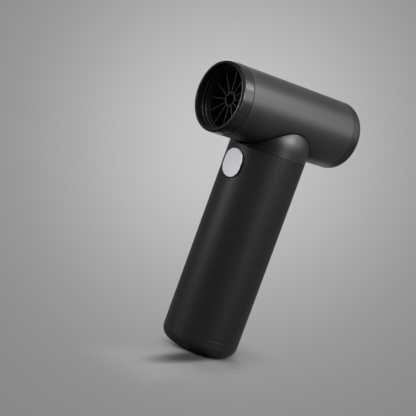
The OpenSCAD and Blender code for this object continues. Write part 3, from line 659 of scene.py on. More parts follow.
class Effect(Nodes):
    """A shader node group under construction, with named inputs and outputs."""

    def __init__(self, name: str, inputs: dict[str, float], outputs: Sequence[str]) -> None:
        """Starts a group.

        Args:
            name: the group's name.
            inputs: default of each numeric input.
            outputs: names of the numeric outputs.
        """
        super().__init__(bpy.data.node_groups.new(name, "ShaderNodeTree"))
        for key, value in inputs.items():
            self.tree.interface.new_socket(
                key, in_out="INPUT", socket_type="NodeSocketFloat").default_value = value
        for key in outputs:
            self.tree.interface.new_socket(key, in_out="OUTPUT", socket_type="NodeSocketFloat")
        self.source = self.node("NodeGroupInput")
        self.sink = self.node("NodeGroupOutput")
        self.place = self.node("TexCoord").outputs["Object"]

    def given(self, name: str) -> Socket:
        """Returns the socket of one of the group's inputs."""
        return self.source.outputs[name]

    def noise(self, size: object, detail: float, vector: object = None) -> Socket:
        """Adds noise.

        Args:
            size: about how wide its grains are.
            detail: how many finer layers it has.
            vector: where it is read, if not at the piece's own place.

        Returns:
            The noise, from 0 to 1.
        """
        scale = self.math("DIVIDE", 1.0, size)
        spot = self.place if vector is None else vector
        return self.node("TexNoise", {"Vector": spot, "Scale": scale, "Detail": detail}).outputs[0]

    def give(self, name: str, value: Socket) -> None:
        """Links a value to one of the group's outputs."""
        self.tree.links.new(value, self.sink.inputs[name])


def moulded_grain() -> bpy.types.NodeTree:
    """Builds the fine texture of moulded or painted plastic.

    Returns:
        A group with the grain's height, and a slow mottle of its tone.
    """
    coarser, coarse_share = 3.1, 0.45
    made = Effect("moulded_grain", {"Grain": 0.3 * MM, "Mottle": 12 * MM}, ("Height", "Tone"))
    fine = made.noise(made.given("Grain"), 2.0)
    coarse = made.noise(made.math("MULTIPLY", made.given("Grain"), coarser), 1.0)
    made.give("Height", made.math("MULTIPLY_ADD", coarse, coarse_share, fine))
    made.give("Tone", made.noise(made.given("Mottle"), 3.0))
    return made.tree


def handling_marks() -> bpy.types.NodeTree:
    """Builds the faint smudges that hands and cloths leave on a satin surface.

    Returns:
        A group with one mask, from 0, clean, to 1, smudged.
    """
    stretch, streak_share = (1.0, 0.35, 1.0), 0.16
    reach, contrast = 0.9, 4.0
    made = Effect("handling_marks", {"Patch": 22 * MM, "Cover": 0.45}, ("Smudge",))
    patch = made.noise(made.given("Patch"), 2.0)
    drawn = made.node("Mapping", {"Vector": made.place, "Scale": stretch}).outputs[0]
    streak = made.noise(made.math("MULTIPLY", made.given("Patch"), streak_share), 4.0, drawn)
    edge = made.math("MULTIPLY", made.math("SUBTRACT", 1.0, made.given("Cover")), reach)
    soft = made.math("MULTIPLY", made.math("SUBTRACT", patch, edge), contrast)
    broken = made.math("MULTIPLY", made.math("MAXIMUM", soft, 0.0), streak)
    made.give("Smudge", made.math("MINIMUM", broken, 1.0))
    return made.tree


def worn_and_highlit_edges() -> bpy.types.NodeTree:
    """Builds a mask of the edges that handling polishes first; the finishes also lighten the colour
    there, partly as wear and partly as a painted highlight.

    Returns:
        A group with one mask, from 0 on open surfaces to 1 on edges.
    """
    contrast, least, swing = 5.0, 0.7, 0.6
    made = Effect("worn_and_highlit_edges", {"Radius": 0.5 * MM, "Breakup": 1.5 * MM}, ("Edge",))
    round_normal = made.node("Bevel", {"Radius": made.given("Radius")}, samples=4).outputs[0]
    true_normal = made.node("NewGeometry").outputs["Normal"]
    turned_away = made.math("SUBTRACT", 1.0, made.measure("DOT_PRODUCT", round_normal, true_normal))
    raw = made.math("MULTIPLY", turned_away, contrast, clamp=True)
    broken = made.math("MULTIPLY_ADD", made.noise(made.given("Breakup"), 3.0), swing, least)
    made.give("Edge", made.math("MULTIPLY", raw, broken, clamp=True))
    return made.tree


def corner_shade_and_dust() -> bpy.types.NodeTree:
    """Builds masks of the corners and seams, for the painted shade there and for the fine dust that
    collects there.

    Returns:
        A group with a mask of the corners, from 0 in the open to 1 in a closed one, and a mask
        of the dust flecks in them.
    """
    fleck_level = 0.52
    made = Effect("corner_shade_and_dust", {"Reach": 1.2 * MM, "Fleck": 0.6 * MM}, ("Corner", "Dust"))
    reach = {"Distance": made.given("Reach")}
    openness = made.node("AmbientOcclusion", reach, samples=4).outputs["AO"]
    corner = made.math("SUBTRACT", 1.0, openness)
    made.give("Corner", corner)
    fleck = made.math("GREATER_THAN", made.noise(made.given("Fleck"), 4.0), fleck_level)
    made.give("Dust", made.math("MULTIPLY", corner, fleck))
    return made.tree


def drawn_lines() -> bpy.types.NodeTree:
    """Builds the fine lines of drawn or turned metal.

    Returns:
        A group with the lines' height, and a mask of their tone.
    """
    lines_each_tone = 25.0
    made = Effect("drawn_lines", {"Line": 0.12 * MM, "Along Y": 1.0}, ("Height", "Tone"))
    shorten = made.math("DIVIDE", 1.0, made.given("Along Y"))
    stretch = made.node("CombineXYZ", {"X": 1.0, "Y": shorten, "Z": 1.0}).outputs[0]
    spot = made.node("VectorMath", {0: made.place, 1: stretch}, operation="MULTIPLY").outputs[0]
    made.give("Height", made.noise(made.given("Line"), 2.0, spot))
    made.give("Tone", made.noise(made.math("MULTIPLY", made.given("Line"), lines_each_tone), 3.0))
    return made.tree


GRAIN, MARKS, EDGES = moulded_grain(), handling_marks(), worn_and_highlit_edges()
SHADE_AND_DUST, LINES = corner_shade_and_dust(), drawn_lines()


# ---- Finishes ----

def spaced(values: dict[str, object]) -> dict[str, object]:
    """Turns the underscores in names into spaces, as in a socket's name."""
    return {key.replace("_", " "): value for key, value in values.items()}


class Dressing(Nodes):
    """A material under construction round one Principled shader."""

    def __init__(self, name: str) -> None:
        """Starts a material with its shader.

        Args:
            name: the material's name.
        """
        self.material = bpy.data.materials.new(name)
        self.material.use_nodes = True
        super().__init__(self.material.node_tree)
        self.shader = self.tree.nodes["Principled BSDF"]

    def effect(self, group: bpy.types.NodeTree, **values: float) -> bpy.types.Node:
        """Places a shared effect with this material's own values."""
        return self.node("Group", spaced(values), node_tree=group)

    def mix(self, factor: object, a: object, b: object) -> Socket:
        """Mixes two colours.

        Args:
            factor: share of the second colour.
            a: the first colour.
            b: the second colour.

        Returns:
            The mixed colour.
        """
        made = self.node("Mix", data_type="RGBA")
        pairs = (("Factor_Float", factor), ("A_Color", a), ("B_Color", b))
        for identifier, value in pairs:
            socket = next(s for s in made.inputs if s.identifier == identifier)
            if isinstance(value, Socket):
                self.tree.links.new(value, socket)
            else:
                socket.default_value = value if isinstance(value, float) else (*value, 1.0)
        return next(s for s in made.outputs if s.identifier == "Result_Color")

    def ramp(self, value: Socket, span: Point2, levels: Point2 = (0.0, 1.0),
             kind: str = "SMOOTHSTEP") -> Socket:
        """Maps a value from one span to another, and holds it at both ends.

        Args:
            value: the value.
            span: where the ramp starts and ends.
            levels: what it gives there.
            kind: SMOOTHSTEP or LINEAR.

        Returns:
            The mapped value.
        """
        inputs = {"Value": value, "From Min": span[0], "From Max": span[1],
                  "To Min": levels[0], "To Max": levels[1]}
        return self.node("MapRange", inputs, interpolation_type=kind).outputs[0]

    def bump(self, height: Socket, distance: float, strength: float) -> None:
        """Feeds a height to the shader's normal."""
        made = self.node("Bump", {"Height": height, "Distance": distance, "Strength": strength})
        self.tree.links.new(made.outputs[0], self.shader.inputs["Normal"])

    def set(self, **values: object) -> None:
        """Sets or links the shader's sockets; underscores stand for spaces."""
        self.feed(self.shader, spaced(values))


@dataclass(frozen=True)
class PaintedShadeZone:
    """A zone along the barrel where the gloss fades as painted shade, on all faces or on those that
    face one way.
    """

    start: float
    end: float
    depth: float = 0.9
    facing: Point3 | None = None
    gain: float = 1.0

    def mask(self, made: Dressing) -> Socket:
        """Builds the zone's mask.

        Args:
            made: the material that gets the nodes.

        Returns:
            How much gloss is lost, from 0 to the zone's depth.
        """
        along = made.node("SeparateXYZ", {0: made.node("TexCoord").outputs["Object"]}).outputs["Y"]
        share = made.ramp(along, (self.start, self.end), (0.0, self.depth), "LINEAR")
        if self.facing:
            normal = made.node("NewGeometry").outputs["Normal"]
            towards = made.measure("DOT_PRODUCT", normal, self.facing)
            share = made.math("MULTIPLY", share, made.math("MULTIPLY", towards, self.gain, clamp=True))
        return share


@dataclass(frozen=True)
class Moulded:
    """Moulded plastic, bare or painted, as on the shells and the inner frame."""

    name: str
    colour: Colour
    roughness: float
    grain: float = 0.3 * MM
    grain_depth: float = 0.004 * MM
    mottle: float = 0.06
    smudge: float = 0.05
    # Lighter edges: partly wear, partly a painted highlight.
    edge_light: float = 0.3
    # Painted shade in closed corners: how far the colour darkens there, towards corner_tone of itself.
    corner_shade: float = 0.5
    specular: float = 0.5
    # Painted shade: closed creases within the nook's reach lose gloss.
    nook: float = 0.0
    nook_gain: float = 2.2
    nook_depth: float = 0.9
    # Painted shade zones, where the gloss is taken away.
    painted_shade_zones: tuple[PaintedShadeZone, ...] = ()
    # The lighter edges' colour, partly wear and partly a painted highlight.
    rub_and_highlight_gain: float = 1.6
    rub_and_highlight_lift: float = 0.01
    corner_tone: float = 0.25
    dust_cover: float = 0.05
    dust: Colour = (0.35, 0.34, 0.32)
    unevenness: float = 0.05
    edge_polish: float = 0.08

    def material(self) -> bpy.types.Material:
        """Builds the material.

        Returns:
            The new material.
        """
        made = Dressing(self.name)
        grain = made.effect(GRAIN, Grain=self.grain)
        marks = made.effect(MARKS)
        edges = made.effect(EDGES)
        dust = made.effect(SHADE_AND_DUST)
        dark = tuple(c * (1 - self.mottle) for c in self.colour)
        pale = tuple(c * (1 + self.mottle) for c in self.colour)
        body = made.mix(grain.outputs["Tone"], dark, pale)
        # Lighter edges: partly wear, partly a painted highlight along them.
        rubbed_and_highlit = tuple(min(1.0, c * self.rub_and_highlight_gain + self.rub_and_highlight_lift) for c in self.colour)
        lit = made.mix(made.math("MULTIPLY", edges.outputs["Edge"], self.edge_light), body, rubbed_and_highlit)
        # Painted shade: the colour darkens in closed corners and seams, by the ambient occlusion mask.
        shade = made.math("MULTIPLY", dust.outputs["Corner"], self.corner_shade)
        deep = made.mix(shade, lit, tuple(c * self.corner_tone for c in self.colour))
        speck = made.math("MULTIPLY", dust.outputs["Dust"], self.dust_cover)
        made.set(Base_Color=made.mix(speck, deep, self.dust))
        rough = made.math("MULTIPLY_ADD", marks.outputs["Smudge"], self.smudge, self.roughness)
        base = made.math("SUBTRACT", rough, self.unevenness / 2)
        varied = made.math("MULTIPLY_ADD", grain.outputs["Tone"], self.unevenness, base)
        polished = made.math("MULTIPLY_ADD", edges.outputs["Edge"], -self.edge_polish, varied)
        made.set(Roughness=polished, Specular_IOR_Level=self.gloss(made))
        made.bump(grain.outputs["Height"], self.grain_depth, 1.0)
        return made.material

    def gloss(self, made: Dressing) -> float | Socket:
        """Works out how much of the gloss is left, with its painted shade zones and closed corners
        taking gloss away.

        Args:
            made: the material that gets the nodes.

        Returns:
            The specular level, which is one value where no painted shade takes gloss away.
        """
        masks = [zone.mask(made) for zone in self.painted_shade_zones]
        # Painted shade: closed creases lose gloss, by the ambient occlusion mask.
        if self.nook:
            corner = made.effect(SHADE_AND_DUST, Reach=self.nook).outputs["Corner"]
            nook = made.math("MULTIPLY", corner, self.nook_gain, clamp=True)
            masks.append(made.math("MULTIPLY", nook, self.nook_depth))
        if not masks:
            return self.specular
        mask = masks.pop()
        for other in masks:
            mask = made.math("MAXIMUM", mask, other)
        return made.math("MULTIPLY_ADD", mask, -self.specular, self.specular)


@dataclass(frozen=True)
class Metal:
    """Bare metal with drawn or turned lines."""

    name: str
    colour: Colour
    roughness: float = 0.3
    line: float = 0.12 * MM
    along: float = 6.0
    depth: float = 0.002 * MM
    tarnish: float = 0.25
    strength: float = 0.8
    unevenness: float = 0.12
    patch: float = 5 * MM
    smudge: float = 0.1

    def material(self) -> bpy.types.Material:
        """Builds the material.

        Returns:
            The new material.
        """
        made = Dressing(self.name)
        lines = made.effect(LINES, Line=self.line, Along_Y=self.along)
        marks = made.effect(MARKS, Patch=self.patch)
        tone = lines.outputs["Tone"]
        dull = tuple(c * (1 - self.tarnish) for c in self.colour)
        made.set(Base_Color=made.mix(tone, dull, self.colour), Metallic=1.0)
        smoothest = self.roughness - self.unevenness / 2
        worn = made.math("MULTIPLY_ADD", tone, self.unevenness, smoothest)
        made.set(Roughness=made.math("MULTIPLY_ADD", marks.outputs["Smudge"], self.smudge, worn))
        made.bump(lines.outputs["Height"], self.depth, self.strength)
        return made.material


@dataclass(frozen=True)
class Board:
    """A lacquered circuit board, with darker tracks under the lacquer."""

    name: str
    colour: Colour = (0.012, 0.09, 0.035)
    track: Colour = (0.02, 0.16, 0.06)
    pitch: float = 1.6 * MM
    track_share: float = 0.5
    track_height: float = 0.02 * MM
    strength: float = 0.5
    grain: float = 0.2 * MM
    mottle: float = 0.3
    roughness: float = 0.28
    unevenness: float = 0.1

    def material(self) -> bpy.types.Material:
        """Builds the material.

        Returns:
            The new material.
        """
        made = Dressing(self.name)
        spot = {"Vector": made.node("TexCoord").outputs["Object"], "Scale": 1 / self.pitch}
        cells = made.node("TexVoronoi", spot, distance="MANHATTAN").outputs["Distance"]
        track = made.math("GREATER_THAN", cells, self.track_share)
        tone = made.effect(GRAIN, Grain=self.grain).outputs["Tone"]
        body = made.mix(track, self.colour, self.track)
        made.set(Base_Color=made.mix(made.math("MULTIPLY", tone, self.mottle), body, self.colour))
        made.set(Roughness=made.math("MULTIPLY_ADD", tone, self.unevenness, self.roughness))
        made.bump(track, self.track_height, self.strength)
        return made.material


@dataclass(frozen=True)
class Clear:
    """Clear plastic for the light rod."""

    name: str
    colour: Colour = (0.92, 0.96, 0.97)
    clearness: float = 0.9
    bending: float = 1.49
    grain: float = 0.5 * MM
    grain_depth: float = 0.002 * MM
    strength: float = 0.5
    roughness: float = 0.05
    unevenness: float = 0.08

    def material(self) -> bpy.types.Material:
        """Builds the material.

        Returns:
            The new material.
        """
        made = Dressing(self.name)
        grain = made.effect(GRAIN, Grain=self.grain)
        made.set(Base_Color=(*self.colour, 1.0), Transmission_Weight=self.clearness, IOR=self.bending)
        rough = made.math("MULTIPLY_ADD", grain.outputs["Tone"], self.unevenness, self.roughness)
        made.set(Roughness=rough)
        made.bump(grain.outputs["Height"], self.grain_depth, self.strength)
        return made.material


class Finish(Enum):
    """Every finish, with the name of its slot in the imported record.

    The barrel's shell and its rear cap share one slot, and each has its own shade of it.
    """

    # Painted shade on the shells: gloss is taken away in closed creases, under the front of the barrel
    # and the collar, on the upward faces near the collar's lip, and at the front of the neck.
    SATIN_SHELL = Moulded("satin_shell", (0.008, 0.008, 0.0083), 0.4, specular=0.6, nook=26 * MM,
                          nook_gain=5.0,
                          painted_shade_zones=(PaintedShadeZone(-20 * MM, -40 * MM, facing=(0, 0, -1), gain=1.2),))
    CAP_SATIN = Moulded("satin_shell", (0.005, 0.005, 0.0052), 0.42, specular=0.38)
    COLLAR_GLOSS = Moulded("collar_gloss", (0.007, 0.0069, 0.0056), 0.25, grain_depth=0.002 * MM,
                           specular=0.66, painted_shade_zones=(
                               PaintedShadeZone(-20 * MM, -40 * MM, facing=(0, 0, -1), gain=1.6),
                               PaintedShadeZone(-56.8 * MM, -58 * MM, 0.92, facing=(0, -0.5, 0.85), gain=1.5)))
    NECK_SATIN = Moulded("neck_satin", (0.004, 0.004, 0.0042), 0.38, specular=0.56, nook=24 * MM,
                         painted_shade_zones=(PaintedShadeZone(-6 * MM, -26 * MM),))
    HANDLE_MATTE = Moulded("handle_matte", (0.0045, 0.0045, 0.0047), 0.46, grain=0.22 * MM,
                           specular=0.26)
    BUTTON_GREY = Moulded("button_grey", (0.66, 0.655, 0.69), 0.42, grain=0.2 * MM, edge_light=0.5)
    INNER_BLACK = Moulded("inner_black", (0.004, 0.004, 0.005), 0.42, specular=0.2)
    FRAME_GREY = Moulded("frame_grey", (0.05, 0.05, 0.055), 0.5)
    TRAY_CREAM = Moulded("tray_cream", (0.68, 0.64, 0.52), 0.5)
    RUBBER_GREY = Moulded("rubber_grey", (0.07, 0.07, 0.08), 0.75, grain=0.15 * MM)
    FOOT_RUBBER = Moulded("foot_rubber", (0.018, 0.018, 0.018), 0.8, grain=0.15 * MM)
    CHIP_BLACK = Moulded("chip_black", (0.012, 0.012, 0.013), 0.45, grain=0.1 * MM)
    CAN_BLUE = Moulded("can_blue", (0.03, 0.045, 0.12), 0.3)
    CELL_WRAP = Moulded("cell_wrap", (0.02, 0.11, 0.24), 0.28)
    LEAD_RED = Moulded("lead_red", (0.45, 0.02, 0.015), 0.4)
    STEEL = Metal("steel", (0.62, 0.62, 0.63))
    LAMINATION = Metal("lamination", (0.35, 0.36, 0.38), 0.4, line=0.35 * MM, along=0.2,
                       depth=0.02 * MM)
    MAGNET = Metal("magnet", (0.25, 0.25, 0.27), 0.35)
    ALLOY = Metal("alloy", (0.66, 0.67, 0.69), 0.34, line=0.3 * MM, along=1.0, depth=0.003 * MM)
    COPPER = Metal("copper", (0.75, 0.33, 0.16), 0.3, line=0.4 * MM, along=8.0, depth=0.05 * MM)
    NICKEL = Metal("nickel", (0.63, 0.61, 0.56), 0.28)
    BOARD_GREEN = Board("board_green")
    CLEAR = Clear("clear")

    def material(self) -> bpy.types.Material:
        """Returns the finish's material, which is built once."""
        return bpy.data.materials.get(self.name.lower() + "_finish") or self._build()

    def _build(self) -> bpy.types.Material:
        """Builds the material and names it after its finish.

        Returns:
            The new material.
        """
        made = self.value.material()
        made.name = self.name.lower() + "_finish"
        return made


class Assembly:
    """What every sub-assembly shares: dressing nodes and putting new pieces in their place."""

    @staticmethod
    def dress(finish: Finish, *nodes: str) -> None:
        """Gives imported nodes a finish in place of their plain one.

        Args:
            finish: the finish.
            nodes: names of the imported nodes.
        """
        for node in nodes:
            for slot in frame["nodes"][node].material_slots:
                slot.material = finish.material()
            LOG.info("%s keeps its packed shape, in %s", node, finish.value.name)

    @staticmethod
    def keep(piece: Piece, finish: Finish, node: str) -> None:
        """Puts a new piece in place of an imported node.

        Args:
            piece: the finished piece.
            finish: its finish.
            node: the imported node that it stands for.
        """
        piece.data.materials.clear()
        piece.data.materials.append(finish.material())
        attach(piece, frame["nodes"][node]["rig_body"])
        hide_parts(node)
        piece.data.calc_loop_triangles()
        LOG.info("%s stands for %s, %d triangles", piece.name, node, len(piece.data.loop_triangles))


# ---- Barrel ----

@dataclass
class Barrel(Assembly):
    """The barrel tube, its outlet collar and the flow straightener."""

    tube: Extent = Extent.of("barrel_shell")
    collar: Extent = Extent.of("outlet_collar")
    vanes: Extent = Extent.of("flow_straightener")
    wall: float = 1.6 * MM
    seam_edge: float = 0.28 * MM
    seam_gap: float = 0.25 * MM
    fit: float = 0.15 * MM
    socket_wall: float = 2.6 * MM
    socket_depth: float = 5.6 * MM
    step_in: float = 0.5 * MM
    step_length: float = 2.9 * MM
    lip_outer: float = 2 * MM
    lip_inner: float = 0.5 * MM
    step_edge: float = 0.22 * MM
    boss_radius: float = 3 * MM
    boss_pilot: float = 1.25 * MM
    lead_hole: float = 4 * MM
    lead_y: float = -1.4 * MM
    vane_count: int = 12
    vane_thickness: float = 0.8 * MM
    vane_phase: float = math.radians(-8.5)
    hub_radius: float = 5.1 * MM
    hub_wall: float = 1.2 * MM
    ring_wall: float = 0.9 * MM
    inner_edge: float = 0.1 * MM
    step_root: float = 0.05 * MM
    lip_steps: int = 8
    lead_reach: float = 2 * MM
    vane_edge: float = 0.3 * MM
    hub_sides: int = 48
    ring_sides: int = 160

    @property
    def radius(self) -> float:
        """Outside radius of the barrel."""
        return self.collar.radius

    def build(self) -> None:
        """Builds and dresses the barrel's pieces."""
        self.build_tube()
        self.build_collar()
        self.build_vanes()
        self.dress(Finish.INNER_BLACK, "motor_duct", "tail_cone")
        self.dress(Finish.RUBBER_GREY, "damper_rings")

    def build_tube(self) -> None:
        """Turns the tube, and adds the two screw bosses below it."""
        front, rear = self.tube.low.y + self.seam_gap, self.tube.high.y
        inside = self.radius - self.wall
        outline = Outline(self.seam_edge)
        outline.to(inside, front, self.inner_edge).to(self.radius, front)
        outline.to(self.radius, rear).to(inside, rear, self.inner_edge)
        tube = turned("barrel_tube", outline, Axis.BARREL)
        foot, top = self.tube.low.z, BARREL_HEIGHT - self.radius + self.wall / 2
        combined(tube, pair((0, BOSS_Y), self.boss_radius, foot, top), Combine.JOIN)
        pilots = pair((0, BOSS_Y), self.boss_pilot, foot - MM, top)
        leads = rod(Axis.HANDLE, (0, self.lead_y), self.lead_hole, foot - MM, top + self.lead_reach)
        combined(tube, [*pilots, leads])
        self.keep(smoothed(tube), Finish.SATIN_SHELL, "barrel_shell")

    def build_collar(self) -> None:
        """Turns the collar, with the nozzle socket and two steps inside its lip."""
        lip, end, seam = self.collar.low.y, self.collar.high.y, self.tube.low.y
        socket = self.radius - self.socket_wall
        step, seat = socket - self.step_in, socket - 2 * self.step_in
        spigot = self.radius - self.wall - self.fit
        vane_end, stop = self.vanes.high.y, self.vanes.radius - self.ring_wall
        first, second = lip + self.socket_depth, lip + self.socket_depth + self.step_length
        outline = Outline(self.step_edge, self.lip_steps)
        outline.to(self.radius, lip, self.lip_outer).to(self.radius, seam, self.seam_edge)
        outline.to(spigot, seam, 0).to(spigot, end).to(stop, end).to(stop, vane_end)
        outline.to(seat, vane_end, 0).to(seat, second).to(step, second, self.step_root)
        outline.to(step, first).to(socket, first, self.step_root).to(socket, lip, self.lip_inner)
        collar = turned("outlet_ring", outline, Axis.BARREL)
        self.keep(smoothed(collar), Finish.COLLAR_GLOSS, "outlet_collar")

    def build_vanes(self) -> None:
        """Makes the straightener: vanes between a hub ring and an outer ring, in one moulding."""
        tree = GeometryTree("straightener_vanes")
        count = tree.count("Vane Count", self.vane_count)
        thick = tree.size("Vane Thickness", self.vane_thickness)
        length = tree.size("Vane Length", self.vanes.high.y - self.vanes.low.y)
        phase = tree.size("Phase", self.vane_phase)
        hub = tree.size("Hub Radius", self.hub_radius)
        hub_wall = tree.size("Hub Wall", self.hub_wall)
        ring = tree.size("Ring Radius", self.vanes.radius)
        ring_wall = tree.size("Ring Wall", self.ring_wall)
        edge = tree.size("Edge Rounding", self.vane_edge)

        near = tree.math("SUBTRACT", hub, tree.half(hub_wall))
        far = tree.math("SUBTRACT", ring, tree.half(ring_wall))
        line = tree.node("CurvePrimitiveLine", {"Start": tree.vector(near), "End": tree.vector(far)})
        vane = tree.sweep(line.outputs[0], tree.bar(thick, length, edge), caps=True)
        step = tree.math("DIVIDE", math.tau, count)
        turn = tree.math("MULTIPLY", tree.node("InputIndex").outputs[0], step)
        heading = tree.vector(0.0, 0.0, tree.math("ADD", turn, phase))
        spots = tree.node("Points", {"Count": count})
        spread = {"Points": spots.outputs[0], "Instance": vane, "Rotation": heading}
        fan = tree.node("InstanceOnPoints", spread)
        whole = tree.node("RealizeInstances", {"Geometry": fan.outputs[0]}).outputs[0]
        rings = [tree.hoop(hub, hub_wall, length, edge, self.hub_sides),
                 tree.hoop(ring, ring_wall, length, edge, self.ring_sides)]
        joined = tree.joined(whole, *rings)
        piece = tree.run("straightener", joined, Finish.INNER_BLACK.material(), self.vanes.middle_y)
        self.keep(piece, Finish.INNER_BLACK, "flow_straightener")


# ---- Rear cap ----

@dataclass
class RearCap(Assembly):
    """The cap that pulls off the barrel, with its grille and the filter behind it."""

    cap: Extent = Extent.of("rear_cap")
    grille: Extent = Extent.of("intake_grille")
    mesh: Extent = Extent.of("filter_mesh")
    seam: float = Extent.of("barrel_shell").high.y
    seam_edge: float = 0.28 * MM
    spigot: float = 23.25 * MM
    spigot_wall: float = 1.9 * MM
    edge: float = 5.2 * MM
    rim: float = 1 * MM
    mouth_edge: float = 0.35 * MM
    hole: float = 3.6 * MM
    web: float = 0.8 * MM
    hole_flare: float = 0.3 * MM
    wire: float = 0.4 * MM
    wire_pitch: float = 2.4 * MM
    wire_rim: float = 1.6 * MM
    small_edge: float = 0.2 * MM
    edge_steps: int = 16
    plate_sides: int = 160
    hole_sides: int = 6
    cutter_share: float = 3.0
    wire_sides: int = 6
    wire_bends: int = 6
    rim_sides: int = 128
    rim_share: float = 2.0
    rim_edge: float = 0.4

    @property
    def mouth(self) -> float:
        """Radius of the opening in the rear face."""
        return self.cap.radius - self.edge - self.rim

    def build(self) -> None:
        """Builds and dresses the cap's pieces."""
        self.build_cap()
        self.build_grille()
        self.build_filter()
        self.dress(Finish.INNER_BLACK, "filter_ring")

    def build_cap(self) -> None:
        """Turns the cap, with a large round at its rear edge and a spigot for the tube."""
        bore, front, rear = self.spigot - self.spigot_wall, self.cap.low.y, self.cap.high.y
        ledge = self.grille.high.y
        outline = Outline(self.small_edge, self.edge_steps)
        outline.to(bore, front).to(self.spigot, front).to(self.spigot, self.seam, 0)
        outline.to(self.cap.radius, self.seam, self.seam_edge).to(self.cap.radius, rear, self.edge)
        outline.to(self.mouth, rear, self.mouth_edge).to(self.mouth, ledge).to(bore, ledge, 0)
        cover = turned("intake_cover", outline, Axis.BARREL)
        self.keep(smoothed(cover), Finish.CAP_SATIN, "rear_cap")

    def build_grille(self) -> None:
        """Makes the grille: a round plate with a honeycomb of flared six-sided holes."""
        tree = GeometryTree("grille_holes")
        radius = tree.size("Plate Radius", self.grille.radius)
        thick = tree.size("Plate Thickness", self.grille.high.y - self.grille.low.y)
        hole = tree.size("Hole Width", self.hole)
        web = tree.size("Web", self.web)
        flare = tree.size("Hole Flare", self.hole_flare)
        mouth = tree.size("Opening Radius", self.mouth)
        rows = tree.count("Rows", 2 * math.ceil(self.mouth / (self.hole * COS_30)) + 1)

        pitch = tree.math("ADD", tree.math("MULTIPLY", hole, COS_30), web)
        span = tree.math("MULTIPLY", tree.math("SUBTRACT", rows, 1.0), pitch)
        grid = tree.node("MeshGrid", {
            "Size X": span, "Size Y": tree.math("MULTIPLY", span, COS_30),
            "Vertices X": rows, "Vertices Y": rows})
        spot = tree.node("ShaderNodeSeparateXYZ", {0: tree.position()})
        lean = tree.vector(tree.math("MULTIPLY", spot.outputs["Y"], math.tan(math.pi / 6)))
        lattice = tree.node("SetPosition", {"Geometry": grid.outputs[0], "Offset": lean})
        reach = tree.math("SUBTRACT", tree.math("SUBTRACT", mouth, web), tree.half(hole))
        inside = tree.math("LESS_THAN", tree.measure("LENGTH", tree.position()), reach)

        small = tree.half(hole)
        large = tree.math("ADD", tree.math("ADD", small, flare), flare)
        through = tree.node("MeshCone", {
            "Vertices": self.hole_sides, "Radius Top": small, "Radius Bottom": small,
            "Depth": tree.math("MULTIPLY", thick, self.cutter_share)})
        below = tree.vector(0.0, 0.0, tree.math("MULTIPLY", thick, -self.cutter_share / 2))
        shaft = tree.node("Transform", {"Geometry": through.outputs[0], "Translation": below})
        widened = tree.node("MeshCone", {
            "Vertices": self.hole_sides, "Radius Top": large, "Radius Bottom": small,
            "Depth": tree.math("MULTIPLY", flare, 2.0)})
        lift = tree.vector(0.0, 0.0, tree.math("SUBTRACT", tree.half(thick), flare))
        bell = tree.node("Transform", {"Geometry": widened.outputs[0], "Translation": lift})
        cutter = tree.joined(shaft.outputs[0], bell.outputs[0])
        spread = tree.node("InstanceOnPoints", {
            "Points": lattice.outputs[0], "Selection": inside, "Instance": cutter,
            "Rotation": (0.0, 0.0, math.pi / 6)})
        cutters = tree.node("RealizeInstances", {"Geometry": spread.outputs[0]}).outputs[0]
        plate = tree.node("MeshCylinder", {
            "Vertices": self.plate_sides, "Radius": radius, "Depth": thick}).outputs[0]
        holed = tree.cut(plate, cutters)
        piece = tree.run("honeycomb", holed, Finish.ALLOY.material(), self.grille.middle_y)
        self.keep(piece, Finish.ALLOY, "intake_grille")

    def build_filter(self) -> None:
        """Weaves the filter's wires over and under each other, inside a flat rim."""
        tree = GeometryTree("woven_wires")
        radius = tree.size("Filter Radius", self.mesh.radius)
        rim = tree.size("Rim Width", self.wire_rim)
        wire = tree.size("Wire Thickness", self.wire)
        pitch = tree.size("Wire Pitch", self.wire_pitch)
        fitting = math.floor((self.mesh.radius - self.wire_rim) / self.wire_pitch)
        count = tree.count("Wires Each Side", fitting)
        bends = tree.count("Bends Per Pitch", self.wire_bends)

        def wires(across: bool) -> Socket:
            """Makes one family of wires.

            Args:
                across: whether they run along Y, and not along X.

            Returns:
                The wires as a mesh.
            """
            span = tree.math("MULTIPLY", count, pitch)
            total = tree.math("MULTIPLY_ADD", count, 2.0, 1.0)
            reach = tree.math("ADD", span, pitch)
            start = tree.vector(tree.math("MULTIPLY", reach, -1.0))
            line = tree.node("CurvePrimitiveLine", {"Start": start, "End": tree.vector(reach)})
            steps = tree.math("ADD", tree.math("MULTIPLY", total, bends), 1.0)
            fine = tree.node("ResampleCurve", {"Curve": line.outputs[0], "Count": steps})
            first = tree.vector(0.0, tree.math("MULTIPLY", span, -1.0))
            spots = tree.node("MeshLine", {
                "Count": total, "Start Location": first, "Offset": tree.vector(0.0, pitch)})
            spread = tree.node("InstanceOnPoints", {
                "Points": spots.outputs[0], "Instance": fine.outputs[0]})
            laid = tree.node("RealizeInstances", {"Geometry": spread.outputs[0]}).outputs[0]
            spot = tree.node("ShaderNodeSeparateXYZ", {0: tree.position()})
            crossings = [tree.math("DIVIDE", spot.outputs[k], pitch) for k in (0, 1)]
            waves = [tree.math("COSINE", tree.math("MULTIPLY", c, math.pi)) for c in crossings]
            height = tree.math("MULTIPLY", wire, -0.5 if across else 0.5)
            rise = tree.math("MULTIPLY", tree.math("MULTIPLY", *waves), height)
            offset = tree.vector(0.0, 0.0, rise)
            woven = tree.node("SetPosition", {"Geometry": laid, "Offset": offset})
            edge = tree.math("SUBTRACT", radius, tree.half(rim))
            outside = tree.math("GREATER_THAN", tree.measure("LENGTH", tree.position()), edge)
            kept = tree.node("DeleteGeometry", {"Geometry": woven.outputs[0], "Selection": outside})
            section = tree.node("CurvePrimitiveCircle", {
                "Resolution": self.wire_sides, "Radius": tree.half(wire)})
            swept = tree.sweep(kept.outputs[0], section.outputs[0], caps=True)
